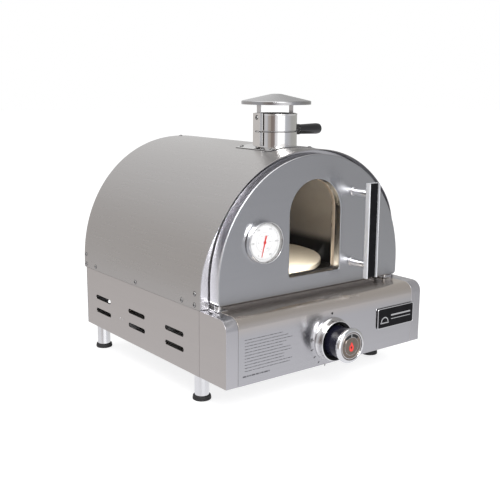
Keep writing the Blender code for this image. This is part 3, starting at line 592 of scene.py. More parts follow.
def clear_glass(name, clearness):
    """Glass that is mostly clear and bright only at a glancing angle."""
    material = new_material(name, (0.02, 0.02, 0.02), 0.03, 0.0, {"IOR": 1.47})
    roughen(material, noise(material, 40, 3.0), 0.02, 0.06)
    tree = material.node_tree
    clear = add_node(tree, "BsdfTransparent", {"Color": (*clearness, 1.0)}).outputs["BSDF"]
    facing = add_node(tree, "LayerWeight").outputs["Facing"]
    steep = math_node(tree, "POWER", facing, 5.0)
    share = spread(material, steep, 0.035, 1.0, 0.0, 1.0)
    glass = shader_of(material).outputs["BSDF"]
    mix = add_node(tree, "MixShader", {"Fac": share, 1: clear, 2: glass})
    tree.links.new(mix.outputs["Shader"], tree.nodes["Material Output"].inputs["Surface"])
    return material


def math_node(tree, operation, *values):
    return add_node(tree, "Math", dict(enumerate(values)), operation=operation).outputs[0]


SMOOTH = (40, 0.02, 3e-6, 0.1)
SATIN = (60, 0.02, 3e-6, 0.06)
FINISH = {}
for make, *rows in (
        (brushed,
         ("brushed_steel", (0.5, 0.485, 0.475), 0.28, "Y"),
         ("door_steel", (0.48, 0.485, 0.5), 0.24, "XY", 0.85),
         ("panel_steel", (0.62, 0.615, 0.635), 0.22, "X", 0.85),
         ("end_cap_steel", (0.6, 0.59, 0.61), 0.26, "ZX", 0.7),
         # A bright steel as painted light, on the front plate and the door's rim
         ("front_plate_steel", (0.88, 0.875, 0.9), 0.26, "XY", 0.7),
         ("side_steel", (0.56, 0.53, 0.515), 0.31, "Y")),
        (plated,
         ("polished_steel", (0.8, 0.79, 0.78), 0.09),
         ("satin_steel", (0.66, 0.655, 0.66), 0.28, 40, 0.02, 3e-6, 0.08),
         ("zinc_steel", (0.42, 0.42, 0.43), 0.45, 90, 0.16, 3e-5),
         # A dark steel as painted shade on the hood's inward faces
         ("hood_inside", (0.19, 0.185, 0.2), 0.4, 60),
         ("screw_steel", (0.4, 0.395, 0.39), 0.24, 60, 0.03, 3e-6, 0.1),
         ("saddle_steel", (0.7, 0.695, 0.69), 0.2, *SMOOTH),
         ("leg_steel", (0.86, 0.86, 0.87), 0.16, *SMOOTH),
         ("bezel_chrome", (0.84, 0.835, 0.84), 0.14, *SMOOTH),
         ("cap_steel", (0.46, 0.455, 0.46), 0.24, 30, 0.015, 2e-6, 0.05),
         ("satin_aluminium", (0.72, 0.73, 0.76), 0.42, *SATIN),
         ("post_aluminium", (0.9, 0.9, 0.92), 0.3, *SATIN),
         ("olive_disc", (0.26, 0.215, 0.18), 0.34, 200, 0.1)),
        (moulded,
         ("black_rubber", (0.018, 0.018, 0.019), 0.62, 4e-5),
         ("black_plastic", (0.004, 0.004, 0.005), 0.16, 3e-6, 0.0, 0.12),
         ("glossy_black", (0.004, 0.004, 0.005), 0.1, 2e-6, 0.5),
         ("navy_phenolic", (0.008, 0.008, 0.017), 0.24, 4e-6, 0.0, 0.4),
         # A near-black steel as painted shade on the cavity floor and the stone rack
         ("sooty_steel", (0.035, 0.032, 0.03), 0.55, 3e-5, 0.0, 0.3)),
        (painted,
         ("white_enamel", (0.93, 0.93, 0.93), 0.35),
         ("red_paint", (0.72, 0.04, 0.03), 0.35),
         ("tan_gasket", (0.42, 0.33, 0.25), 0.7),
         ("grey_print", (0.09, 0.09, 0.1), 0.5),
         ("dial_print", (0.33, 0.33, 0.34), 0.5),
         # Black for print, and as painted shade in and round the screw heads
         ("black_ink", (0.008, 0.008, 0.009), 0.5))):
    FINISH.update({name: make(name, *values) for name, *values in rows})
FINISH.update({
    "brass": plated("machined_brass", (0.66, 0.47, 0.2), 0.28, 60),
    "chrome": plated("bright_chrome", (0.82, 0.82, 0.83), 0.06),
    "glass": clear_glass("oven_glass", (0.95, 0.96, 0.955)),
    "gauge_lens": clear_glass("gauge_lens", (0.99, 0.99, 0.99)),
    "heat_steel": heat_tint_and_painted_light(),
    "stone": cordierite(),
    "ceramic_fibre": woven_fibre(),
})
shader_of(FINISH["satin_aluminium"]).inputs["Metallic"].default_value = 0.35
# The panel turns warm towards its top: a painted warm reflection.
fade(FINISH["panel_steel"], "Z", 0.125, 0.162, (0.72, 0.655, 0.59))
# The gasket goes near black along the window's bottom edge: painted shade.
fade(FINISH["tan_gasket"], "Z", WINDOW_BOTTOM + 0.006, WINDOW_BOTTOM + 0.002, (0.03, 0.028, 0.026))


# ---- dome

def hood_front(z):
    """The dome's front edge leans forward over the door above the straight sides."""
    share = min(1.0, max(0.0, (z - HOOD_LOW_Z) / (HOOD_HIGH_Z - HOOD_LOW_Z)))
    ease = share * share * (3 - 2 * share)
    return HOOD_LOW_Y + (DOME_LOW.y - HOOD_LOW_Y) * ease


def dome_sheet():
    """The sheet bent along the arch, with rounded long edges."""
    edge = 0.0004
    near = [(edge, 0.0), (edge * 0.3, edge * 0.3), (0.0, edge)]
    section = [(inset, True, shift) for inset, shift in near]
    section += [(inset, False, -shift) for inset, shift in reversed(near)]
    section += [(SHEET - inset, False, -shift) for inset, shift in near]
    section += [(SHEET - inset, True, shift) for inset, shift in reversed(near)]
    outlines = {inset: dome_outline(inset) for inset, _, _ in section}
    loops = []
    for i in range(len(outlines[0.0])):
        loop = []
        for inset, at_front, shift in section:
            x, z = outlines[inset][i]
            loop.append((x, (hood_front(z) if at_front else DOME_HIGH.y) + shift, z))
        loops.append(loop)
    return loft(loops)


def flue_cutter():
    return turned(rectangle(0, FLUE_RADIUS, 0.35, 0.45), CHIMNEY, "Z")


def repaint(thing, finish, chosen):
    """Give a piece a second finish on the faces that a test picks."""
    thing.data.materials.append(FINISH[finish])
    for face in thing.data.polygons:
        face.material_index = int(chosen(face))


def build_dome():
    skin = stand_in("dome_shell", "dome_skin", dome_sheet())
    cut(skin, flue_cutter())

    def faces_inward(face):
        away = Vector((face.center.x, 0.0, face.center.z - DOME_SPRING * 0.8))
        return face.normal.dot(away) < -0.3 * away.length

    # The skin's inward faces take a dark steel: painted shade inside the hood.
    repaint(skin, "hood_inside", faces_inward)


# ---- base

def build_base():
    for node in ("panel_end_left", "panel_end_right"):
        end = refined(node, 0.0006, "end_cap_steel")
        repaint(end, "side_steel", lambda face: abs(face.normal.x) > 0.9)
    for row in ("front", "rear"):
        for side in ("left", "right"):
            build_leg(f"{row}_{side}")


def build_leg(place):
    """A tube standing in a ribbed rubber boot."""
    low, high, centre, radius = measure(f"leg_{place}")
    inner = radius - WALL
    tube = [(radius, low.z), (radius, high.z), (inner, high.z), (inner, low.z)]
    stand_in(f"leg_{place}", f"leg_tube_{place}", lathe(tube, centre, "Z", 0.0004), "leg_steel")
    low, high, _, outer = measure(f"foot_boot_{place}")
    pocket = radius + 0.0003
    floor = 0.004
    waist = outer - 0.0008
    boot = [(0, low.z), (outer - 0.0006, low.z), (outer, low.z + 0.0012),
            (outer, low.z + 0.0028), (waist, low.z + 0.0033), (waist, low.z + 0.0043),
            (outer - 0.0002, low.z + 0.0048), (outer - 0.001, high.z - 0.0006),
            (outer - 0.002, high.z), (pocket, high.z), (pocket, floor), (0, floor)]
    stand_in(f"foot_boot_{place}", f"boot_{place}", lathe(boot, centre, "Z", 0.0005))


# ---- door

def build_door_skin():
    """The pressed door: a rolled outer edge, a flat face and a neck round the window."""
    front, rear = DOOR_LOW.y, DOOR_HIGH.y
    neck_round = 0.0014
    neck_wall = 0.0012
    neck_rear = GLASS_FRONT - 0.0003
    rim = [(SHEET, rear), (0.0004, rear), (0.0, rear - 0.0004)]
    rim += [(DOOR_EDGE * (1 - c), front + DOOR_EDGE * (1 - s)) for c, s in quarter_turn(5)]
    neck = [(neck_round * (1 - s), front + neck_round * (1 - c)) for c, s in quarter_turn(4)]
    neck += [(0.0, neck_rear), (neck_wall, neck_rear), (neck_wall, front + SHEET)]

    bm = bmesh.new()
    outer, inside, hole = (
        [[bm.verts.new(point) for point in at_depth(outline_at(inset), y)] for inset, y in section]
        for outline_at, section in ((door_outline, rim), (door_outline, [(SHEET, front + SHEET)]),
                                    (window_outline, neck)))
    join_rings(bm, inside + outer)
    join_rings(bm, hole)
    plate_with_hole(bm, outer[-1], hole[0])
    plate_with_hole(bm, inside[0], hole[-1])
    skin = stand_in("door_shell", "door_skin", bm)
    pin_hole = rectangle(0, 0.0029, DOOR_LOW.z - 0.01, DOOR_LOW.z + 0.01)
    cut(skin, turned(pin_hole, middle("hinge_sleeve"), "Z", 24))

    def on_rim(face):
        away = Vector((face.center.x, 0.0, max(0.0, face.center.z - ARCH_CENTRE)))
        return away.length > DOOR_HIGH.x - 0.001 and abs(face.normal.y) < 0.6

    # The door's rim takes a far brighter steel than its face: a painted highlight.
    repaint(skin, "front_plate_steel", on_rim)


def build_window():
    """The pane, held all round by a tan gasket between the door's neck and its liner."""
    low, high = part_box("door_glass")
    stand_in("door_glass", "window_glass", prism_y(window_outline(-0.0004), low.y, high.y))
    front, rear, lap = GLASS_FRONT - 0.0024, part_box("door_liner")[0].y - 0.0001, -0.0006
    section = fillet([(lap, front), (0.0005, front), (0.006, rear), (lap, rear)], 0.0004)
    edge_band = frame_y(window_outline, section)
    add_piece("window_gasket", edge_band, "ceramic_fibre", "door", "tan_gasket")


def build_seal():
    """A flat woven rope on the back of the door, with round edges."""
    low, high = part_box("door_seal")

    def outline_at(inset):
        half = high.x - inset
        return arch_outline(half, low.z + inset, ARCH_CENTRE, half, corner=0.01 - inset / 2)

    section = fillet(rectangle(0.0, 0.008, low.y, high.y), 0.0011, 4)
    stand_in("door_seal", "door_rope_seal", frame_y(outline_at, section))


# ---- fasteners

SCREW_RADIUS = 0.0034
SCREW_HEIGHT = 0.0018
SUNK = -0.0004


def screw_mesh():
    """A pan head with a cross recess, standing along +Z."""
    foot = SCREW_RADIUS + 0.0008
    profile = [(0, SUNK), (foot, SUNK), (foot, 0.0001), (SCREW_RADIUS, 0.0003)]
    profile += [(SCREW_RADIUS * c ** 0.75, SCREW_HEIGHT * s) for c, s in quarter_turn(6)[1:-1]]
    profile.append((0, SCREW_HEIGHT))
    head = placed("screw_head", solid_mesh("screw_head", turned(profile, (0, 0, 0), "Z", 24)))
    arm, slot, floor = 0.0021, 0.00058, SCREW_HEIGHT - 0.0012
    cut(head, box(-arm, arm, -slot, slot, floor, 0.01), box(-slot, slot, -arm, arm, floor, 0.01))
    head.data.materials.clear()
    head.data.materials.append(FINISH["screw_steel"])

    def in_shadow(face):
        deep = face.center.z < SCREW_HEIGHT * 0.8 and face.center.xy.length < arm
        return deep or face.center.z < 0.00035

    # Black in the cross recess and on the foot ring round the head: painted shade.
    repaint(head, "black_ink", in_shadow)
    mesh = head.data
    bpy.data.objects.remove(head)
    return mesh


def add_screw(name, mesh, place, outward, turn=0.4):
    thing = placed(name, mesh)
    stand = Vector(outward).to_track_quat("Z", "Y").to_matrix().to_4x4()
    thing.matrix_world = Matrix.Translation(place) @ stand @ Matrix.Rotation(turn, 4, "Z")
    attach(thing, "oven_body")


def dome_normal(x, z):
    across = copysign(abs(x) ** (DOME_POWER - 1) / DOME_HIGH.x ** DOME_POWER, x)
    up = max(0.0, z - DOME_SPRING) ** (DOME_POWER - 1) / DOME_RISE ** DOME_POWER
    return Vector((across, 0.0, up)).normalized()


def arch_share(share):
    """How far the dome's arch reaches one way, by its share of the other."""
    return (1 - share ** DOME_POWER) ** (1 / DOME_POWER)


def dome_half_at(z):
    return DOME_HIGH.x * arch_share(max(0.0, z - DOME_SPRING) / DOME_RISE)


def dome_top_at(x):
    return DOME_SPRING + DOME_RISE * arch_share(abs(x) / DOME_HIGH.x)


# Rows of screws that hold the dome's sides, as (Y, Z)
SIDE_SCREWS = ((0.249, 0.1906), (0.249, 0.1712), (0.209, 0.172), (0.055, 0.172), (-0.099, 0.172),
               (-0.1375, 0.1908), (-0.137, 0.1718))
RIVET_Z = 0.0896
RIVETS_Y = (0.106, 0.117)
RIVET = ((0, SUNK), (0.0019, SUNK), (0.0019, 0.0002), (0.0012, 0.0009), (0, 0.0011))
REAR_SCREW_ANGLES = (-78, -52, -26, 0, 26, 52, 78)
REAR_SCREWS = ((-0.214, 0.15), (0.214, 0.15), (-0.214, 0.064), (0.214, 0.064))


def build_fasteners():
    mesh = screw_mesh()
    for side, name in ((-1, "left"), (1, "right")):
        for number, (y, z) in enumerate(SIDE_SCREWS):
            x = side * dome_half_at(z)
            add_screw(f"screw_side_{name}_{number}", mesh, (x, y, z), dome_normal(x, z),
                      0.4 + 0.7 * number)
        for number, y in enumerate(RIVETS_Y):
            head = lathe(RIVET, (0, y, RIVET_Z), "X", 0.0004, 20)
            rivet = add_piece(f"rivet_{name}_{number}", head, "satin_steel")
            rivet.data.transform(Matrix.Scale(side, 4, (1, 0, 0)))
            rivet.data.transform(Matrix.Translation((side * HALF_WIDTH, 0, 0)))
            if side < 0:
                rivet.data.flip_normals()
    plate = 0.0012 + 0.0003
    reach_x, reach_y = 0.0435, 0.043
    for i, (sx, sy) in enumerate(((-1, -1), (1, -1), (-1, 1), (1, 1))):
        x = sx * reach_x
        outward = dome_normal(x, dome_top_at(x))
        place = Vector((x, CHIMNEY.y + sy * reach_y, dome_top_at(x))) + outward * plate
        add_screw(f"screw_saddle_{i}", mesh, place, outward, 0.9 * i)
    add_screw("screw_dome_rear", mesh, (0.0, DOME_HIGH.y - 0.007, DOME_HIGH.z), (0, 0, 1))
    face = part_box("chimney_channel")[0].x
    add_screw("screw_channel", mesh, (face, CHIMNEY.y - 0.001, 0.4668), (-1, 0, 0))
    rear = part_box("dome_rear_panel")[1].y
    reach = DOME_HIGH.x - 0.013
    for i, degrees in enumerate(REAR_SCREW_ANGLES):
        turn = radians(degrees)
        place = (reach * sin(turn), rear, DOME_SPRING + reach * cos(turn))
        add_screw(f"screw_rear_arch_{i}", mesh, place, (0, 1, 0))
    for i, (x, z) in enumerate(REAR_SCREWS):
        add_screw(f"screw_rear_base_{i}", mesh, (x, REAR, z), (0, 1, 0), i)


# ---- marks

def flat_marks(name, outlines, front, height, body, finish, slot="black_plastic"):
    """Thin raised or printed shapes on a surface that faces -Y."""
    shapes = [prism_y(outline, front - height, front + 0.0001) for outline in outlines]
    return add_piece(name, merged(*shapes), slot, body, finish)


def around(centre, degrees, radius):
    """A point round a centre. Degrees run clockwise from the top."""
    turn = radians(degrees)
    return centre[0] + radius * sin(turn), centre[1] + radius * cos(turn)


def arc_band(centre, start, end, inner, outer, steps=24):
    """Part of a flat ring. Degrees run clockwise from the top."""
    turns = [start + (end - start) * k / steps for k in range(steps + 1)]
    return [around(centre, turn, outer) for turn in turns] + [around(centre, turn, inner)
                                                              for turn in turns[::-1]]


def ring_band(centre, inner, outer, front, height):
    """A whole flat ring that faces -Y."""
    return turned(rectangle(inner, outer, front + 0.0001, front - height), centre, "Y")


def figures(text, centre, size, front):
    """Flat figures that face -Y."""
    curve = bpy.data.curves.new("figures", "FONT")
    curve.body = text
    curve.size = size
    curve.align_x = curve.align_y = "CENTER"
    curve.extrude = 5e-5
    writing = placed("figures", curve)
    mesh = applied_mesh(writing)
    bpy.data.objects.remove(writing)
    upright = Matrix.Rotation(pi / 2, 4, "X")
    mesh.transform(Matrix.Translation((centre[0], front, centre[1])) @ upright)
    bm = bmesh.new()
    bm.from_mesh(mesh)
    bpy.data.meshes.remove(mesh)
    bmesh.ops.remove_doubles(bm, verts=bm.verts, dist=1e-6)
    return bm


MARK_RADIUS = 0.046
MARK_HEIGHT = 0.0001
TICKS = ((-104, 0.005), (-123, 0.0046), (-141, 0.004), (-162, 0.0034))
PRINT_LEFT = -0.192
PRINT_TOP = 0.126
PRINT_LINES = 11
PRINT_STEP = 0.0052


def dashes(start, length, low, height, seed):
    """A row of short bars of changing length, as plain stand-ins for a printed line."""
    bars = []
    at = start
    number = seed
    while at < start + length:
        number += 1
        reach = min(0.0022 + 0.0058 * sin(2.3 * number) ** 2, start + length - at)
        if reach > 0.001:
            bars.append(rounded_rectangle(at, at + reach, low, low + height, height * 0.3))
        at += reach + 0.0013
    return bars


def build_panel_marks():
    """Off dot, spark symbol and shortening ticks round the knob, and plain dashes for the print."""
    centre = KNOB.xz
    marks = [radial_bar(centre, degrees, MARK_RADIUS - length / 2, MARK_RADIUS + length / 2, 0.0017)
             for degrees, length in TICKS]
    marks.append(ring_outline(around(centre, 0, MARK_RADIUS), 0.0021))
    spark = around(centre, -82, MARK_RADIUS)
    marks += [radial_bar(spark, 36 + 72 * k, 0.0007, 0.0042, 0.0015) for k in range(5)]
    flat_marks("panel_marks", marks, PANEL_FRONT, MARK_HEIGHT, "oven_body", "black_ink")
    lines = []
    for k in range(PRINT_LINES):
        length = 0.078 + 0.022 * sin(2.3 * k) ** 2
        lines += dashes(PRINT_LEFT + 0.004, length, PRINT_TOP - PRINT_STEP * k, 0.0012, 3 * k)
    low = PRINT_TOP - PRINT_STEP * (PRINT_LINES + 0.8)
    lines += dashes(PRINT_LEFT, 0.055, low, 0.0026, 5)
    flat_marks("panel_print", lines, PANEL_FRONT, MARK_HEIGHT / 2, "oven_body", "grey_print")


def build_name_plate():
    """A black plate in a raised bright frame, with a plain arch and two bars for a badge."""
    low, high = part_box("name_plate")

    def outline_at(inset):
        return rounded_rectangle(low.x + inset, high.x - inset, low.z + inset, high.z - inset,
                                 0.004 - inset)

    rim, soft, back, front = 0.0014, 0.0003, low.y + 0.0006, low.y - 0.0006
    section = ((0.0, back), (0.0, front + soft), (soft, front), (rim - soft, front),
               (rim, front + soft), (rim, back))
    add_piece("plate_frame", frame_y(outline_at, section), "chrome")
    x, z = low.x + 0.018, low.z + 0.0115
    badge = [arc_band((x, z), -90, 90, 0.0075, 0.0095),
             rounded_rectangle(x - 0.011, x + 0.011, z - 0.0026, z - 0.0008, 0.0006)]
    for level, thick in ((low.z + 0.022, 0.0028), (low.z + 0.015, 0.0012)):
        badge.append(rounded_rectangle(low.x + 0.034, high.x - 0.008, level - thick / 2,
                                       level + thick / 2, thick * 0.4))
    flat_marks("plate_badge", badge, low.y, 0.0003, "oven_body", "chrome", "chrome")


# ---- knob

def build_knob():
    low, high, _, outer = measure("knob_bezel")
    base, front, throat, bore = high.y, low.y, 0.0334, 0.0286
    bezel = [(bore, base, 0), (outer, base, 0), (outer, base - 0.0016, 0.001),
             (outer - 0.0016, base - 0.0048, 0.004), (outer - 0.0026, base - 0.008, 0.004),
             (outer - 0.0031, front + 0.0018, 0.003), (outer - 0.0038, front, 0.0014),
             (throat + 0.0007, front, 0.0008), (throat, front + 0.001, 0.0005),
             (bore, base - 0.003, 0)]
    stand_in("knob_bezel", "bezel_finished", lathe(bezel, KNOB, "Y"), "bezel_chrome")
    # A black lining inside the bezel's throat, as painted shade in the deep gap round the knob.
    lining = [(throat - 0.0001, front + 0.0012, 0), (throat - 0.0008, front + 0.003, 0),
              (bore, base - 0.003, 0), (0.028, base - 0.003, 0), (0.028, front + 0.004, 0.0005),
              (0.0288, front + 0.0028, 0.0005), (throat - 0.001, front + 0.0014, 0)]
    add_piece("bezel_throat", lathe(lining, KNOB, "Y", 0.0002))

    low, _, _, outer = measure("knob_ring")
    front = low.y
    face = front + 0.0015
    grip = [(0, face, 0), (0.0238, face, 0), (0.0238, -0.267), (0.0281, -0.267),
            (0.0281, -0.2645, 0.001), (0.0266, -0.263, 0.001), (0.0264, -0.258, 0.004),
            (0.027, -0.233, 0.004), (0.0258, -0.2295, 0.001), (0.0065, -0.2295), (0.0065, -0.236),
            (0.0039, -0.236), (0.0039, -0.2455), (0, -0.2455, 0)]
    stand_in("knob_body", "knob_grip", lathe(grip, KNOB, "Y"), "navy_phenolic")
    rim = 0.0241
    ring = [(0.0284, -0.2652, 0.0003), (outer - 0.0006, -0.2656, 0.001), (outer, -0.2684, 0.002),
            (outer, -0.27, 0.002), (outer - 0.0014, front + 0.0014, 0.002),
            (outer - 0.004, front, 0.002), (rim + 0.0006, front, 0.0004),
            (rim, front + 0.0006, 0.0004), (rim, -0.2673, 0), (0.0284, -0.2673, 0)]
    stand_in("knob_ring", "knob_bright_ring", lathe(ring, KNOB, "Y"))

    hub, well, level = 0.015, face - 0.0007, face - 0.0002
    disc = [(0, well, 0), (hub, well, 0.0003), (hub + 0.0006, level, 0.0002),
            (0.0234, level, 0.0001), (0.0237, face + 0.0001, 0), (0, face + 0.0001, 0)]
    add_piece("knob_face", lathe(disc, KNOB, "Y"), "black_plastic", "gas_knob", "olive_disc")
    window = arc_band(KNOB.xz, -48, 48, 0.016, 0.0208)
    flat_marks("knob_window", [window], level, 0.00015, "gas_knob", "black_ink")
    lines = merged(ring_band(KNOB, 0.0215, 0.0225, level, 0.0004),
                   ring_band(KNOB, 0.0152, 0.0156, level, 0.0007),
                   prism_y(radial_bar(KNOB.xz, 0, 0.0154, 0.0218, 0.0014), level - 0.0003, level))
    add_piece("knob_lines", lines, "chrome", "gas_knob")
    flame = ((0.0, 0.0082), (0.0026, 0.0028), (0.005, -0.001), (0.005, -0.0058), (0.0022, -0.0092),
             (-0.0022, -0.0092), (-0.005, -0.0058), (-0.005, -0.001), (-0.0026, 0.0028))
    core = ((-0.0004, 0.0012), (0.0012, -0.0022), (-0.0004, -0.0058), (-0.0022, -0.0026))
    flame, core = (fillet([(KNOB.x + x, KNOB.z + z) for x, z in shape], soft)
                   for shape, soft in ((flame, 0.0012), (core, 0.0008)))
    lift = 0.00015
    flat_marks("knob_pointer", [flame], well, lift, "gas_knob", "red_paint", "red_paint")
    flat_marks("knob_pointer_core", [core], well - lift, 0.0001, "gas_knob", "black_ink")


# ---- thermometer

def build_thermometer():
    low, high, _, outer = measure("thermometer_case")
    back, front = high.y, low.y
    dial_low, dial_high, _, dial = measure("thermometer_dial")
    face = dial_low.y
    case = [(0.0023, back, 0), (outer - 0.0018, back, 0.0006), (outer, back - 0.0018, 0.0012),
            (outer, front + 0.0022, 0.0014), (outer - 0.0009, front, 0.0008),
            (outer - 0.0017, front, 0.0004), (dial + 0.0003, front + 0.0012, 0.0003),
            (dial + 0.0003, back - 0.0015, 0), (0.0023, back - 0.0015, 0)]
    stand_in("thermometer_case", "gauge_case", lathe(case, GAUGE, "Y"))
    # A thin ring of darker steel inside the case's lip, as painted shade round the dial's edge.
    trim = rectangle(dial - 0.0005, dial, face, front + 0.0014)
    add_piece("gauge_inner_ring", lathe(trim, GAUGE, "Y", 0.0001), "satin_steel", "door",
              "screw_steel")
    sheet = rectangle(0.0015, dial, dial_high.y, face)
    stand_in("thermometer_dial", "gauge_dial", lathe(sheet, GAUGE, "Y", 0.0002))
    outer_scale, inner_scale = dial * 0.86, dial * 0.5
    ticks = []
    for degrees in range(-150, 151, 6):
        length, width = (0.0026, 0.00036) if degrees % 30 == 0 else (0.0014, 0.0002)
        ticks.append(radial_bar(GAUGE.xz, degrees, outer_scale, outer_scale + length, width))
    ticks += [radial_bar(GAUGE.xz, degrees, inner_scale, inner_scale + 0.0012, 0.0002)
              for degrees in range(-150, 151, 10)]
    marks = [prism_y(tick, face - 6e-5, face + 0.0001) for tick in ticks]
    marks += [ring_band(GAUGE, reach - 0.00025, reach, face, 6e-5)
              for reach in (outer_scale, inner_scale)]
    for radius, size, step in ((dial * 0.74, 0.0046, 100), (dial * 0.37, 0.003, 50)):
        for number in range(6):
            place = around(GAUGE.xz, -150 + 60 * number, radius)
            marks.append(figures(str(step * number), place, size, face))
    add_piece("gauge_marks", merged(*marks), "black_plastic", "door", "dial_print")
    low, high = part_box("thermometer_lens")
    edge = dial - 0.0004
    glass = [(0, low.y - 0.0006, 0), (0.016, low.y - 0.0005, 0), (edge, low.y), (edge, high.y),
             (0, high.y, 0)]
    stand_in("thermometer_lens", "gauge_lens", lathe(glass, GAUGE, "Y", 0.0002), "gauge_lens")


# ---- handle

def build_handle():
    low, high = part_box("handle_bar")
    strip_low, strip_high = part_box("handle_insert")
    lip = strip_low.x - low.x - 0.0003
    floor = strip_high.y + 0.0002
    channel = fillet([(low.x, low.y, 0.001), (low.x + lip, low.y), (low.x + lip, floor),
                      (high.x - lip, floor), (high.x - lip, low.y), (high.x, low.y, 0.001),
                      (high.x, high.y, 0.003), (low.x, high.y, 0.003)])
    strip = rounded_rectangle(strip_low.x, strip_high.x, strip_low.y, strip_high.y, 0.0005)
    for node, name, outline, inset, finish in (
            ("handle_bar", "handle_channel", channel, 0.0, "satin_aluminium"),
            ("handle_insert", "handle_strip", strip, 0.0004, None)):
        loops = [[(x, y, z) for x, y in outline] for z in (low.z + inset, high.z - inset)]
        stand_in(node, name, loft(loops), finish)
    for post in ("post_lower", "post_upper"):
        low, high, centre, flange = measure(f"handle_{post}")
        radius = flange - 0.0015
        corners = [(0, high.y, 0), (flange, high.y), (flange, high.y - 0.0018, 0.0006),
                   (radius, high.y - 0.0042, 0.003), (radius, low.y + 0.001, 0.0004),
                   (radius, low.y), (0, low.y, 0)]
        stand_in(f"handle_{post}", f"bright_{post}", lathe(corners, centre, "Y"), "post_aluminium")


# ---- chimney

def build_chimney():
    low, high, _, outer = measure("chimney_tube")
    bead, top = outer + 0.0004, high.z
    pipe = [(outer, low.z), (outer, top - 0.003, 0.001), (bead, top - 0.002, 0.001),
            (bead, top - 0.0006, 0.0006), (outer - 0.0004, top, 0.0006),
            (outer - WALL, top - 0.0008, 0.0005), (outer - WALL, low.z)]
    tube = stand_in("chimney_tube", "flue_pipe", lathe(pipe, CHIMNEY, "Z"))
    damper, reach, half_slit = middle("damper_plate").z, 0.07, 0.0013
    cut(tube, box(-reach, reach, CHIMNEY.y - reach, CHIMNEY.y + 0.006, damper - half_slit,
                  damper + half_slit))

    low, high, _, rim = measure("chimney_cap")
    edge, flat, under = low.z + 0.006, 0.008, high.z - WALL
    cap = [(0, high.z, 0), (flat, high.z, 0.045), (rim - 0.0008, edge + 0.0002, 0.0022),
           (rim, edge - 0.0008, 0.0012), (rim, low.z, 0.0005), (rim - WALL, low.z, 0.0005),
           (rim - WALL, edge - WALL, 0.002), (flat, under, 0.045), (0, under, 0)]
    stand_in("chimney_cap", "cap_cone", lathe(cap, CHIMNEY, "Z", steps=8), "cap_steel")
    build_seams()
    build_damper()


def build_seams():
    """Dark strips as painted shade where the folded channel meets the tube, and round the saddle's
    edge.
    """
    low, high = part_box("chimney_channel")
    slit = middle("damper_plate").z
    radius, thick = FLUE_RADIUS - 0.0004, 0.0008
    # Black beads along the channel's edges on the tube, as painted shade in the gaps.
    for side, y in (("front", low.y - 0.0002), ("rear", high.y + 0.0002)):
        x = -sqrt(radius ** 2 - (y - CHIMNEY.y) ** 2) - 0.0003
        for part, start, end in (("lower", low.z, slit - 0.0022),
                                 ("upper", slit + 0.0022, high.z - 0.001)):
            bead = [(0, start, 0), (thick, start, 0.0003), (thick, end, 0.0003), (0, end, 0)]
            add_piece(f"seam_{side}_{part}", lathe(bead, (x, y, 0), "Z", segments=16))
    low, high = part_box("chimney_flange")
    reach, steps = 0.0009, 40
    front, rear = low.y - reach, high.y + reach
    loops = []
    for k in range(steps + 1):
        x = (high.x + reach) * (2 * k / steps - 1)
        under, over = dome_top_at(x) - 0.0002, dome_top_at(x) + 0.0006
        loops.append([(x, front, under), (x, rear, under), (x, rear, over), (x, front, over)])
    # A thin black sheet just proud of the saddle's edge, as painted shade.
    edge_band = add_piece("saddle_shade_strip", loft(loops))
    lap = 0.004
    cut(edge_band, flue_cutter(), box(low.x + lap, high.x - lap, low.y + lap, high.y - lap,
                                   low.z - 0.02, high.z + 0.02))


def build_damper():
    low, high, centre, _ = measure("damper_grip")
    radius, end = (high.z - low.z) / 2, high.x
    grip = [(0, low.x, 0), (radius - 0.0008, low.x, 0.001),
            (radius - 0.0004, low.x + 0.004, 0.0005), (radius - 0.0012, low.x + 0.005, 0.0005),
            (radius, end - 0.01, 0.006),
            (radius - 0.001, end - 0.0022, 0.003), (radius - 0.006, end, 0.004), (0, end, 0)]
    handle = stand_in("damper_grip", "damper_handle", lathe(grip, centre, "X"), "glossy_black")
    plate_low, plate_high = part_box("damper_plate")
    gap, half = 0.0003, 0.0052
    cut(handle, box(low.x - 0.01, low.x + 0.0145, centre.y - half, centre.y + half,
                    plate_low.z - gap, plate_high.z + gap))


# ---- rear

def build_gas_inlet():
    """A hexagonal nut and a threaded stub."""
    low, high, centre, across = measure("gas_inlet_fitting")
    nut = [(REAR + 0.0003, 0.94), (REAR + 0.001, 1.0), (REAR + 0.0073, 1.0), (REAR + 0.008, 0.94)]
    loops = [at_depth(ring_outline(centre.xz, across * share, 6), y) for y, share in nut]
    add_piece("inlet_nut", loft(loops), "brass")
    thread, root, bore, pitch, start = 0.0078, 0.0071, 0.003, 0.0014, REAR + 0.009
    stub = [(bore, low.y), (thread - 0.0004, low.y), (thread - 0.0004, start)]
    for k in range(int((high.y - 0.001 - start) / pitch)):
        y = start + pitch * k
        stub += [(root, y + 0.0002), (thread, y + pitch / 2), (root, y + pitch)]
    stub += [(thread - 0.001, high.y), (bore, high.y)]
    stand_in("gas_inlet_fitting", "inlet_thread", turned(stub, centre, "Y", 40))


# ---- stage

def build_floor():
    bm = bmesh.new()
    bmesh.ops.create_grid(bm, x_segments=2, y_segments=2, size=12.0)
    mesh = mesh_from("studio_floor", bm)
    floor = placed("studio_floor", mesh)
    floor.location.z = -0.0002
    mesh.materials.append(new_material("floor_white", (0.45, 0.45, 0.45), 0.8, 0.0, {
        "Emission Color": (1.0, 1.0, 1.0, 1.0), "Emission Strength": 0.74}))
    floor.visible_glossy = False


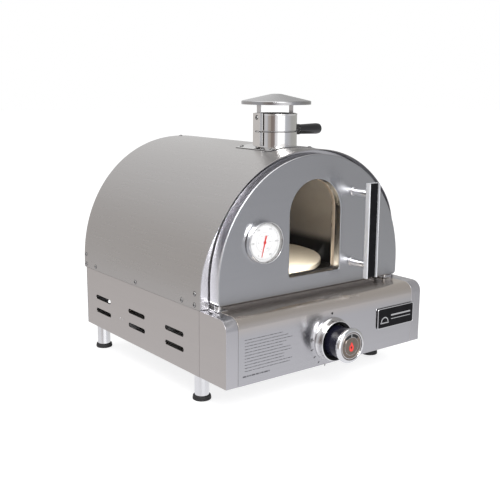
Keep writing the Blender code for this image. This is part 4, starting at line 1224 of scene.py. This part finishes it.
# What the room shows at eye level, by compass angle in degrees from +X towards +Y
ROOM = ((-180, 0.56, 0.57, 0.61), (-175, 0.52, 0.52, 0.54), (-171, 0.44, 0.4, 0.38),
        (-158, 0.4, 0.36, 0.33), (-154, 0.24, 0.2, 0.18), (-136, 0.27, 0.23, 0.22),
        (-132, 0.78, 0.77, 0.79), (-121, 0.85, 0.85, 0.88), (-118, 1.35, 1.35, 1.36),
        (-82, 1.35, 1.35, 1.36), (-76, 0.54, 0.56, 0.61), (-50, 0.49, 0.49, 0.51),
        (-34, 0.42, 0.42, 0.41), (0, 0.44, 0.44, 0.42), (44, 0.5, 0.5, 0.49),
        (58, 0.82, 0.82, 0.82), (90, 0.64, 0.63, 0.63), (118, 0.64, 0.62, 0.61),
        (140, 0.6, 0.57, 0.55), (150, 0.6, 0.6, 0.62))
# The same for what it shows above, where the front is darker than the sides
CEILING = ((-180, 0.8, 0.8, 0.81), (-110, 0.8, 0.8, 0.81), (-75, 0.4, 0.4, 0.41),
           (40, 0.44, 0.44, 0.44), (56, 0.95, 0.95, 0.95), (90, 0.86, 0.86, 0.87),
           (180, 0.8, 0.8, 0.81))
TABLE = (0.84, 0.84, 0.87, 1.0)
BACKDROP = (1.0, 1.0, 1.0, 1.0)


def build_room():
    """Soft studio surroundings: bright boxes, a pale ceiling and the white table below."""
    world = bpy.data.worlds.new("studio")
    bpy.context.scene.world = world
    world.use_nodes = True
    tree = world.node_tree
    place = add_node(tree, "TexCoord").outputs["Generated"]
    split = add_node(tree, "SeparateXYZ", {"Vector": place})
    x, y, z = (split.outputs[axis] for axis in "XYZ")
    turn = math_node(tree, "MULTIPLY_ADD", math_node(tree, "ARCTAN2", y, x), 0.5 / pi, 0.5)
    level, upper = (colour_ramp(tree, turn, [(degrees / 360 + 0.5, colour)
                                             for degrees, *colour in stops])
                    for stops in (ROOM, CEILING))
    above = mix_colour(tree, smooth_step(tree, z, 0.12, 0.65), level, upper)
    below = math_node(tree, "MULTIPLY", z, -1.0)
    whole = mix_colour(tree, smooth_step(tree, below, 0.22, 0.36), above, TABLE)
    camera_ray = add_node(tree, "LightPath").outputs["Is Camera Ray"]
    seen = mix_colour(tree, camera_ray, whole, BACKDROP)
    tree.links.new(seen, tree.nodes["Background"].inputs["Color"])


def area_light(name, place, target, size, power, colour=(1, 1, 1)):
    light = bpy.data.lights.new(name, "AREA")
    light.shape = "RECTANGLE"
    light.size, light.size_y = size
    light.energy = power
    light.color = colour
    thing = placed(name, light)
    thing.location = place
    aim = Vector(target) - Vector(place)
    thing.rotation_euler = aim.to_track_quat("-Z", "Y").to_euler()
    thing.visible_camera = False
    return thing


def build_stage():
    camera = placed("photo_view", bpy.data.cameras.new("photo_view"))
    camera.data.lens = 59.47
    yaw, pitch, roll = radians(37.565), radians(11.618), radians(0.3625)
    camera.matrix_world = (Matrix.Translation((-0.9461, -1.2213, 0.5308))
                           @ Matrix.Rotation(-yaw, 4, "Z")
                           @ Matrix.Rotation(pi / 2 - pitch, 4, "X")
                           @ Matrix.Rotation(roll, 4, "Z"))
    bpy.context.scene.camera = camera
    build_floor()
    build_room()
    area_light("overhead_box", (-0.2, 0.2, 2.4), (0, 0, 0.2), (2.4, 2.4), 16)
    area_light("front_box", (-0.9, -2.0, 1.6), (0, 0, 0.25), (1.4, 1.0), 40)
    inside = area_light("cavity_fill", (0.0, -0.15, 0.245), (0.04, 0.1, 0.205), (0.08, 0.05), 0.36,
                        (1.0, 0.97, 0.93))
    inside.visible_glossy = False
    bpy.context.scene.view_settings.view_transform = "Standard"


# ---- everything

build_stage()
build_dome()
build_base()
build_door_skin()
build_window()
build_seal()
build_handle()
build_thermometer()
build_knob()
build_name_plate()
build_panel_marks()
build_chimney()
build_gas_inlet()
build_fasteners()

# How wide a CAD node's broken edges are and what it is made of, if not as usual
OWN_SHAPES = {
    # The front plate's bright steel is painted light
    "dome_rear_panel": (0.0,), "front_plate": (0.0006, "front_plate_steel"),
    # The cavity floor and the stone rack take a near-black steel as painted shade
    "cavity_floor": (0.0003, "sooty_steel"), "stone_rack": (0.0003, "sooty_steel"),
    "base_side_left": (0.0006, "side_steel"), "base_side_right": (0.0006, "side_steel"),
    "door_liner": (0.0004,), "hinge_bracket": (0.0005,), "door_catch": (0.0005,),
    "name_plate": (0.0004,), "thermometer_needle": (0.0001,),
    "chimney_flange": (0.0003, "saddle_steel"),
}
finished = {node for thing in bpy.data.objects for node in thing.get("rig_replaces", [])}
for node in sorted(set(frame["nodes"]) - finished):
    refined(node, *OWN_SHAPES.get(node, ()))
